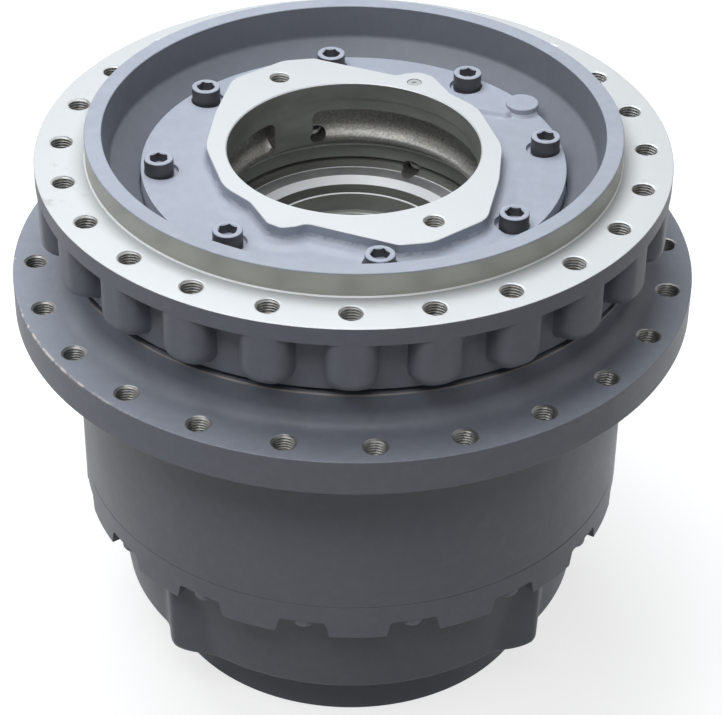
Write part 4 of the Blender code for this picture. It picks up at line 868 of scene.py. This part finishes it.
def oil_hole(name, x, y, depth, radius):
    """Cutter for a slanted oil drilling that leaves the bore's wall outward and down."""
    azimuth = math.atan2(x, -y)
    hole = lathe(name, [(0, 0), (radius, 0), (radius, OIL_LENGTH), (0, OIL_LENGTH + 3 * MM)], HOLE_SIDES)
    hole.data.transform(Matrix.Diagonal((1.0, OIL_FLATTEN, 1.0, 1.0)))
    spot = Vector((OIL_START * math.sin(azimuth), -OIL_START * math.cos(azimuth), FACE - depth))
    tilt = Matrix.Rotation(azimuth, 4, "Z") @ Matrix.Rotation(OIL_TILT, 4, "X")
    hole.data.transform(Matrix.Translation(spot) @ tilt)
    return hole


def hexagon(flats):
    """Corner points of a hexagon by its width across flats."""
    radius = flats / math.sqrt(3)
    return [(radius * math.cos(math.pi * i / 3), radius * math.sin(math.pi * i / 3)) for i in range(6)]


def make_screw_mesh():
    """One socket-head screw about its own axis."""
    seat = FACE - DISC_DROP - SCREW_SINK
    top = seat + SCREW_HEAD
    outline = [(0, top, 0), (12 * MM, top, 1.1 * MM),
               *section(seat, (12, 0, 0.5), (8, 0, 0), (8, -46, 1), (0, -46, 0))]
    body = dress(lathe("screw_form", rounded(outline, 4), HEAD_SIDES), SCREW_STEEL)
    key = rounded([(x, y, 0.8 * MM) for x, y in hexagon(SCREW_KEY)], 3)
    combine(body, dress(prism("socket_form", key, top - 8 * MM, top + 2 * MM), SCREW_STEEL), "DIFFERENCE")
    dish = section(top, (0, 2), (10, 2), (7.2, -0.8), (0, -0.8))
    combine(body, dress(lathe("dish_form", dish, HEAD_SIDES), SCREW_STEEL), "DIFFERENCE")
    paint_faces(body, SCREW_SIDE, lambda r, z, up: (np.abs(up) < 0.4)
                & ((r > 11.5 * MM) | (z < top - 1 * MM)))
    return smooth(body)


def stand_for(thing, body, slot, *nodes):
    """A piece that rides on a body and replaces its nodes."""
    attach(thing, body)
    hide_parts(*nodes)


def place_copies(first, stem, nodes, circle, turn, body, slot):
    """Sets linked copies of a piece round a circle, each standing for its node."""
    for index, node in enumerate(nodes):
        angle = turn + 2 * math.pi * index / len(nodes)
        thing = first if index == 0 else first.copy()
        thing.name = f"{stem}_{index + 1:02d}"
        if index:
            bpy.context.scene.collection.objects.link(thing)
        thing.location = (circle * math.sin(angle), -circle * math.cos(angle), 0)
        thing.rotation_euler = (0, 0, angle)
        stand_for(thing, body, slot, node)


def make_port_plug():
    """Flush port plug with a small drilled centre."""
    outline = section(FACE, (0, -1.4, 0), (2, -1.2, 0), (2, -0.3, 0), (6, -0.3, 0.4),
                      (6, -10, 0), (0, -10, 0))
    plug = dress(lathe("port_plug_fine", rounded(outline, 3), HOLE_SIDES), FLANGE_METAL)
    return move(smooth(plug), *PORT_PLACE)


def make_hub():
    """Hub: collar, filleted sprocket flange with tapped holes, machined land and drum."""
    outer = [(COLLAR_RADIUS, COLLAR_TOP, 0.9 * MM), (COLLAR_RADIUS, FLANGE_TOP, COLLAR_FILLET),
             (SPROCKET_RADIUS, FLANGE_TOP, 0.9 * MM), (SPROCKET_RADIUS, FLANGE_FOOT, 0.9 * MM),
             (LAND_RADIUS, FLANGE_FOOT, 0.6 * MM), (LAND_RADIUS, FLANGE_FOOT - 9 * MM, 1 * MM),
             (DRUM_RADIUS, FLANGE_FOOT - 12 * MM, 3 * MM), (DRUM_RADIUS, PARTING, 0.7 * MM)]
    inner = section(PARTING, (215.3, 0, 0), (215.3, 68, 0), (194.3, 68, 0))
    inner += section(COLLAR_TOP, (194.3, -100, 0), (190.3, -97, 0), (190.3, -56.6, 0), (183, -56.6, 0),
                     (183, -49.6, 0), (190.3, -49.6, 0), (190.3, -3, 0), (200.2, -3, 0), (200.2, -27, 0),
                     (219.8, -27, 0), (219.8, 0, 0))
    body = dress(lathe("hub_casting", rounded(outer + inner, 6), SKIN_SIDES), HUB_PAINT)
    holes = tapped_hole("sprocket_threads", FLANGE_TOP, SPROCKET_HEIGHT, True)
    combine(body, copies(holes, FLANGE_HOLES, SPROCKET_CIRCLE, HUB_TURN), "DIFFERENCE")
    paint_faces(body, GEAR_STEEL, lambda r, z, up: r < HUB_INSIDE)
    return smooth(body)


def cover_skin(angle, height):
    """Radius of the cover's cast body and how far it stands in one of the four broad ribs."""
    share = (height - COVER_STEP) / (TAB_FOOT - COVER_STEP)
    body = COVER_LOW_RADIUS + (COVER_HEAD_RADIUS - COVER_LOW_RADIUS) * share
    pitch = math.pi / 2
    offset = angle - HUB_TURN - RIB_TURN
    offset -= round(offset / pitch) * pitch
    side = offset * COVER_HEAD_RADIUS
    rib = RIB_RADIUS + RIB_GROWTH * share - RIB_FLANK * (math.hypot(side, RIB_CREST) - RIB_CREST)
    return soft_max(rib, body, RIB_BLEND), min(max(rib - body, 0.0) / RIB_DEPTH, 1.0)


def cover_outline(angle):
    """Section of the cover at an angle, with its cavity as in the frame."""
    top = PARTING - FIT
    outline = rounded([(215.3 * MM, top, 0), (DRUM_RADIUS, top, 0.7 * MM), (DRUM_RADIUS, TAB_FOOT, 1.2 * MM),
                       (COVER_HEAD_RADIUS, TAB_FOOT, 0)], 4, False)[:-1]
    curve = (3 + 8 * cover_skin(angle, COVER_STEP)[1] ** 2) * MM
    for step in range(COVER_LEVELS + 1):
        height = TAB_FOOT + (COVER_STEP + curve - TAB_FOOT) * step / COVER_LEVELS
        outline.append((cover_skin(angle, height)[0], height))
    edge = outline[-1][0]
    for step in range(1, 7):
        turn = math.pi / 2 * step / 6
        outline.append((edge - curve * (1 - math.cos(turn)), COVER_STEP + curve * (1 - math.sin(turn))))
    rest = [(edge - curve - 2 * MM, COVER_STEP, 0), (COVER_FOOT, COVER_STEP - 3 * MM, 4 * MM),
            (COVER_FOOT, 0, 2 * MM),
            *section(0, (1, 0, 0), (1, 66, 0), (20, 66, 0), (20, 22, 0), (152, 22, 6), (152, 64, 0),
                     (182.3, 64, 0), (182.3, 122, 0), (200, 146, 0), (200, 169.7, 0), (215.3, 169.7, 0)),
            (215.3 * MM, top, 0)]
    return outline + rounded(rest, 4, False)[:-1]


def make_cover():
    """Cover: castellated flange, ribs, foot disc and plug seats."""
    body = dress(swept("cover_casting", cover_outline, even(SKIN_SIDES)), SHADED_COVER_PAINT)
    half = [(NOTCH_MOUTH_HALF + 1 * MM, TAB_FOOT - 3 * MM, 0), (NOTCH_MOUTH_HALF, TAB_FOOT, 1.5 * MM),
            (NOTCH_ROOF_HALF, NOTCH_ROOF, 3 * MM)]
    outline = rounded([(-half[0][0], *half[0][1:])] + half + [(-x, *more) for x, *more in half[:0:-1]], 5)
    notch = prism("notch_form", outline, COVER_HEAD_RADIUS + 0.5 * MM, 246 * MM)
    notch.data.transform(Matrix.Rotation(math.radians(90), 4, "X"))
    combine(body, copies(dress(notch, SHADED_COVER_PAINT), BOLT_COUNT, 0.0, HUB_TURN + BOLT_TURN), "DIFFERENCE")
    bolt = section(PARTING, (0, 2), (6.6, 2)) + section(NOTCH_ROOF, (6.6, -2), (0, -2))
    bolt = dress(lathe("bolt_hole_form", bolt, 24), THREAD_STEEL)
    combine(body, copies(bolt, BOLT_COUNT, BOLT_CIRCLE, HUB_TURN + BOLT_TURN), "DIFFERENCE")
    plug = section(0, (0, 27), (12.6, 27), (12.6, 6), (20, 6), (21, -1), (0, -1))
    plug = dress(lathe("plug_seat_form", plug, HOLE_SIDES), SHADED_COVER_PAINT)
    combine(body, copies(plug, 2, PLUG_CIRCLE, HUB_TURN), "DIFFERENCE")
    # The tab faces take the lighter hub paint; the body below keeps the darker copy as painted shade
    paint_faces(body, HUB_PAINT, lambda r, z, up: (r > DRUM_RADIUS - 2 * MM) & (z > TAB_FOOT - 1 * MM))
    return smooth(body)


def make_cover_bolt():
    """One flanged hexagon bolt about its own axis, overpainted."""
    seat = NOTCH_ROOF - FIT
    head = prism("head_form", hexagon(BOLT_FLATS), seat - BOLT_HEAD, seat, 0.0, 0.8 * MM)
    crown = rounded(section(seat, (0, -8, 0), (10, -8, 5), (10, 1, 0), (0, 1, 0)), 6)
    combine(dress(head, BOLT_PAINT), dress(lathe("crown_form", crown, HOLE_SIDES), BOLT_PAINT), "INTERSECT")
    shank = section(seat, (0, -1), (6, -1), (6, 41), (5, 42), (0, 42))
    combine(head, dress(lathe("bolt_shank_form", shank, 32), BOLT_PAINT), "UNION")
    return smooth(head)


def make_foot_plug():
    """One oil plug about its own axis: round flush head with a hexagon key."""
    outline = section(0, (0, 1, 0), (17.5, 1, 1), (17.5, 5.7, 0.4), (12, 5.7, 0), (12, 20, 1), (0, 20, 0))
    body = dress(lathe("plug_form", rounded(outline, 3), HOLE_SIDES), SCREW_STEEL)
    key = prism("plug_key_form", hexagon(PLUG_KEY), -1 * MM, 9 * MM)
    combine(body, dress(key, SCREW_STEEL), "DIFFERENCE")
    return smooth(body)


def make_seals():
    """The face seal's four rings, which show through the gap under the housing."""
    face = COLLAR_TOP - SEAL_LEDGE
    iron = ((202.5, 0.3, 0.3), (215.5, 0.3, 0.5), (215.5, 4.3, 0.5), (208.5, 12.3, 0.5), (202.5, 12.3, 0.5))
    rubber = ((211.5, 9.8, 3.2), (219.5, 9.8, 3.2), (219.5, 17.8, 3.2), (211.5, 17.8, 3.2))
    for side, sense, body in (("fixed", 1, "housing"), ("turning", -1, "hub")):
        for stem, corners, steps, material, slot in (("seal_ring", iron, 3, SEAL_IRON, "seal_iron"),
                                                     ("seal_toric", rubber, 5, RUBBER, "seal_rubber")):
            outline = section(face, *((r, sense * z, edge) for r, z, edge in corners))
            ring = lathe(f"{stem}_{side}_fine", rounded(outline, steps), RING_SIDES)
            stand_for(smooth(dress(ring, material)), body, slot, f"{stem}_{side}")


def dress_frame():
    """Finishes for the frame's own pieces that stay."""
    for name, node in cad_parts.items():
        dress(node, RUBBER if "toric" in name else SEAL_IRON if "seal" in name else GEAR_STEEL)


def mix_by_ray(tree, plain, seen_shader, target):
    """Shows one shader to camera and glossy rays, and the other to the rest."""
    path = tree.nodes.new("ShaderNodeLightPath")
    seen = tree.nodes.new("ShaderNodeMath")
    seen.operation = "MAXIMUM"
    tree.links.new(path.outputs["Is Camera Ray"], seen.inputs[0])
    tree.links.new(path.outputs["Is Glossy Ray"], seen.inputs[1])
    mixed = tree.nodes.new("ShaderNodeMixShader")
    tree.links.new(seen.outputs[0], mixed.inputs[0])
    tree.links.new(plain.outputs[0], mixed.inputs[1])
    tree.links.new(seen_shader.outputs[0], mixed.inputs[2])
    tree.links.new(mixed.outputs[0], target.inputs["Surface"])


def make_stage():
    """Plain pale floor, white to the camera and to reflections and dim to the object."""
    bpy.ops.mesh.primitive_plane_add(size=24)
    floor = bpy.context.object
    floor.name = "floor"
    material = bpy.data.materials.new("pale_floor")
    material.use_nodes = True
    tree = material.node_tree
    surface = tree.nodes["Principled BSDF"]
    fill_in(surface, {"Base Color": (0.5, 0.5, 0.5, 1), "Roughness": 0.9, "Specular IOR Level": 0.0,
                      "Emission Color": (1, 1, 1, 1), "Emission Strength": 0.75})
    dim = tree.nodes.new("ShaderNodeBsdfDiffuse")
    fill_in(dim, {"Color": (0.15, 0.148, 0.142, 1)})
    mix_by_ray(tree, dim, surface, tree.nodes["Material Output"])
    dress(floor, material)


def make_world():
    """White to the camera and to reflections, a soft fill to everything else."""
    world = bpy.data.worlds.new("studio")
    bpy.context.scene.world = world
    world.use_nodes = True
    tree = world.node_tree
    fill = tree.nodes["Background"]
    fill_in(fill, {"Color": (0.97, 0.98, 1.0, 1), "Strength": 0.04})
    white = tree.nodes.new("ShaderNodeBackground")
    fill_in(white, {"Strength": 1.0})
    mix_by_ray(tree, fill, white, tree.nodes["World Output"])


# Lamps: name, place, size, power and tint; and the point that they look at
LAMPS = (("overhead", (-0.4, 0.5, 2.6), (2.2, 1.8), 62, (0.92, 0.96, 1.0)),
         ("front", (-0.5, -1.4, 2.5), (2.4, 0.8), 18, (0.97, 0.98, 1.0)))
LAMP_TARGET = Vector((0, 0, 0.3))


def make_lights():
    """One large soft lamp overhead and a little behind, and a weak, long one in front."""
    for name, place, size, power, tint in LAMPS:
        lamp = bpy.data.lights.new(name, "AREA")
        lamp.shape = "RECTANGLE"
        lamp.size, lamp.size_y = size
        lamp.energy = power
        lamp.color = tint
        thing = bpy.data.objects.new(name, lamp)
        bpy.context.scene.collection.objects.link(thing)
        thing.location = place
        thing.rotation_euler = (LAMP_TARGET - Vector(place)).to_track_quat("-Z", "Y").to_euler()


# Camera, fitted to the circles of holes in the photograph
CAMERA_PLACE = (0.0008, -1.668, 1.4662)
CAMERA_PITCH = 0.6270
CAMERA_YAW = 0.00439
CAMERA_ROLL = 0.0138
CAMERA_LENS = 117.63


def make_camera():
    """The photograph's viewpoint."""
    data = bpy.data.cameras.new("camera")
    data.lens = CAMERA_LENS
    data.sensor_width = 36
    data.clip_start = 0.05
    data.clip_end = 50
    camera = bpy.data.objects.new("camera", data)
    bpy.context.scene.collection.objects.link(camera)
    flat = math.cos(CAMERA_PITCH)
    ahead = Vector((math.sin(CAMERA_YAW) * flat, math.cos(CAMERA_YAW) * flat, -math.sin(CAMERA_PITCH)))
    right = Vector((math.cos(CAMERA_YAW), -math.sin(CAMERA_YAW), 0))
    up = right.cross(ahead)
    turned_right = right * math.cos(CAMERA_ROLL) + up * math.sin(CAMERA_ROLL)
    turned_up = up * math.cos(CAMERA_ROLL) - right * math.sin(CAMERA_ROLL)
    axes = Matrix((turned_right, turned_up, -ahead)).transposed().to_4x4()
    camera.matrix_world = Matrix.Translation(CAMERA_PLACE) @ axes
    bpy.context.scene.camera = camera


dress_frame()
stand_for(make_mount(), "housing", "mount_paint", "mount_housing")
stand_for(make_motor_case(), "housing", "motor_paint", "motor_housing")
stand_for(make_port_plug(), "housing", "screw_steel", "port_plug")
place_copies(make_screw_mesh(), "socket_screw", [f"motor_screw_{i + 1}" for i in range(SCREW_COUNT)],
             SCREW_CIRCLE, SCREW_TURN, "housing", "screw_steel")
stand_for(make_hub(), "hub", "hub_paint", "hub")
stand_for(make_cover(), "hub", "cover_paint", "cover")
place_copies(make_cover_bolt(), "hex_bolt", [f"cover_bolt_{i + 1:02d}" for i in range(BOLT_COUNT)],
             BOLT_CIRCLE, HUB_TURN + BOLT_TURN, "hub", "bolt_steel")
place_copies(make_foot_plug(), "foot_plug", ["drain_plug", "level_plug"], PLUG_CIRCLE, HUB_TURN, "hub",
             "bolt_steel")
make_seals()
make_stage()
make_world()
make_lights()
make_camera()
bpy.context.scene.view_settings.view_transform = "Standard"
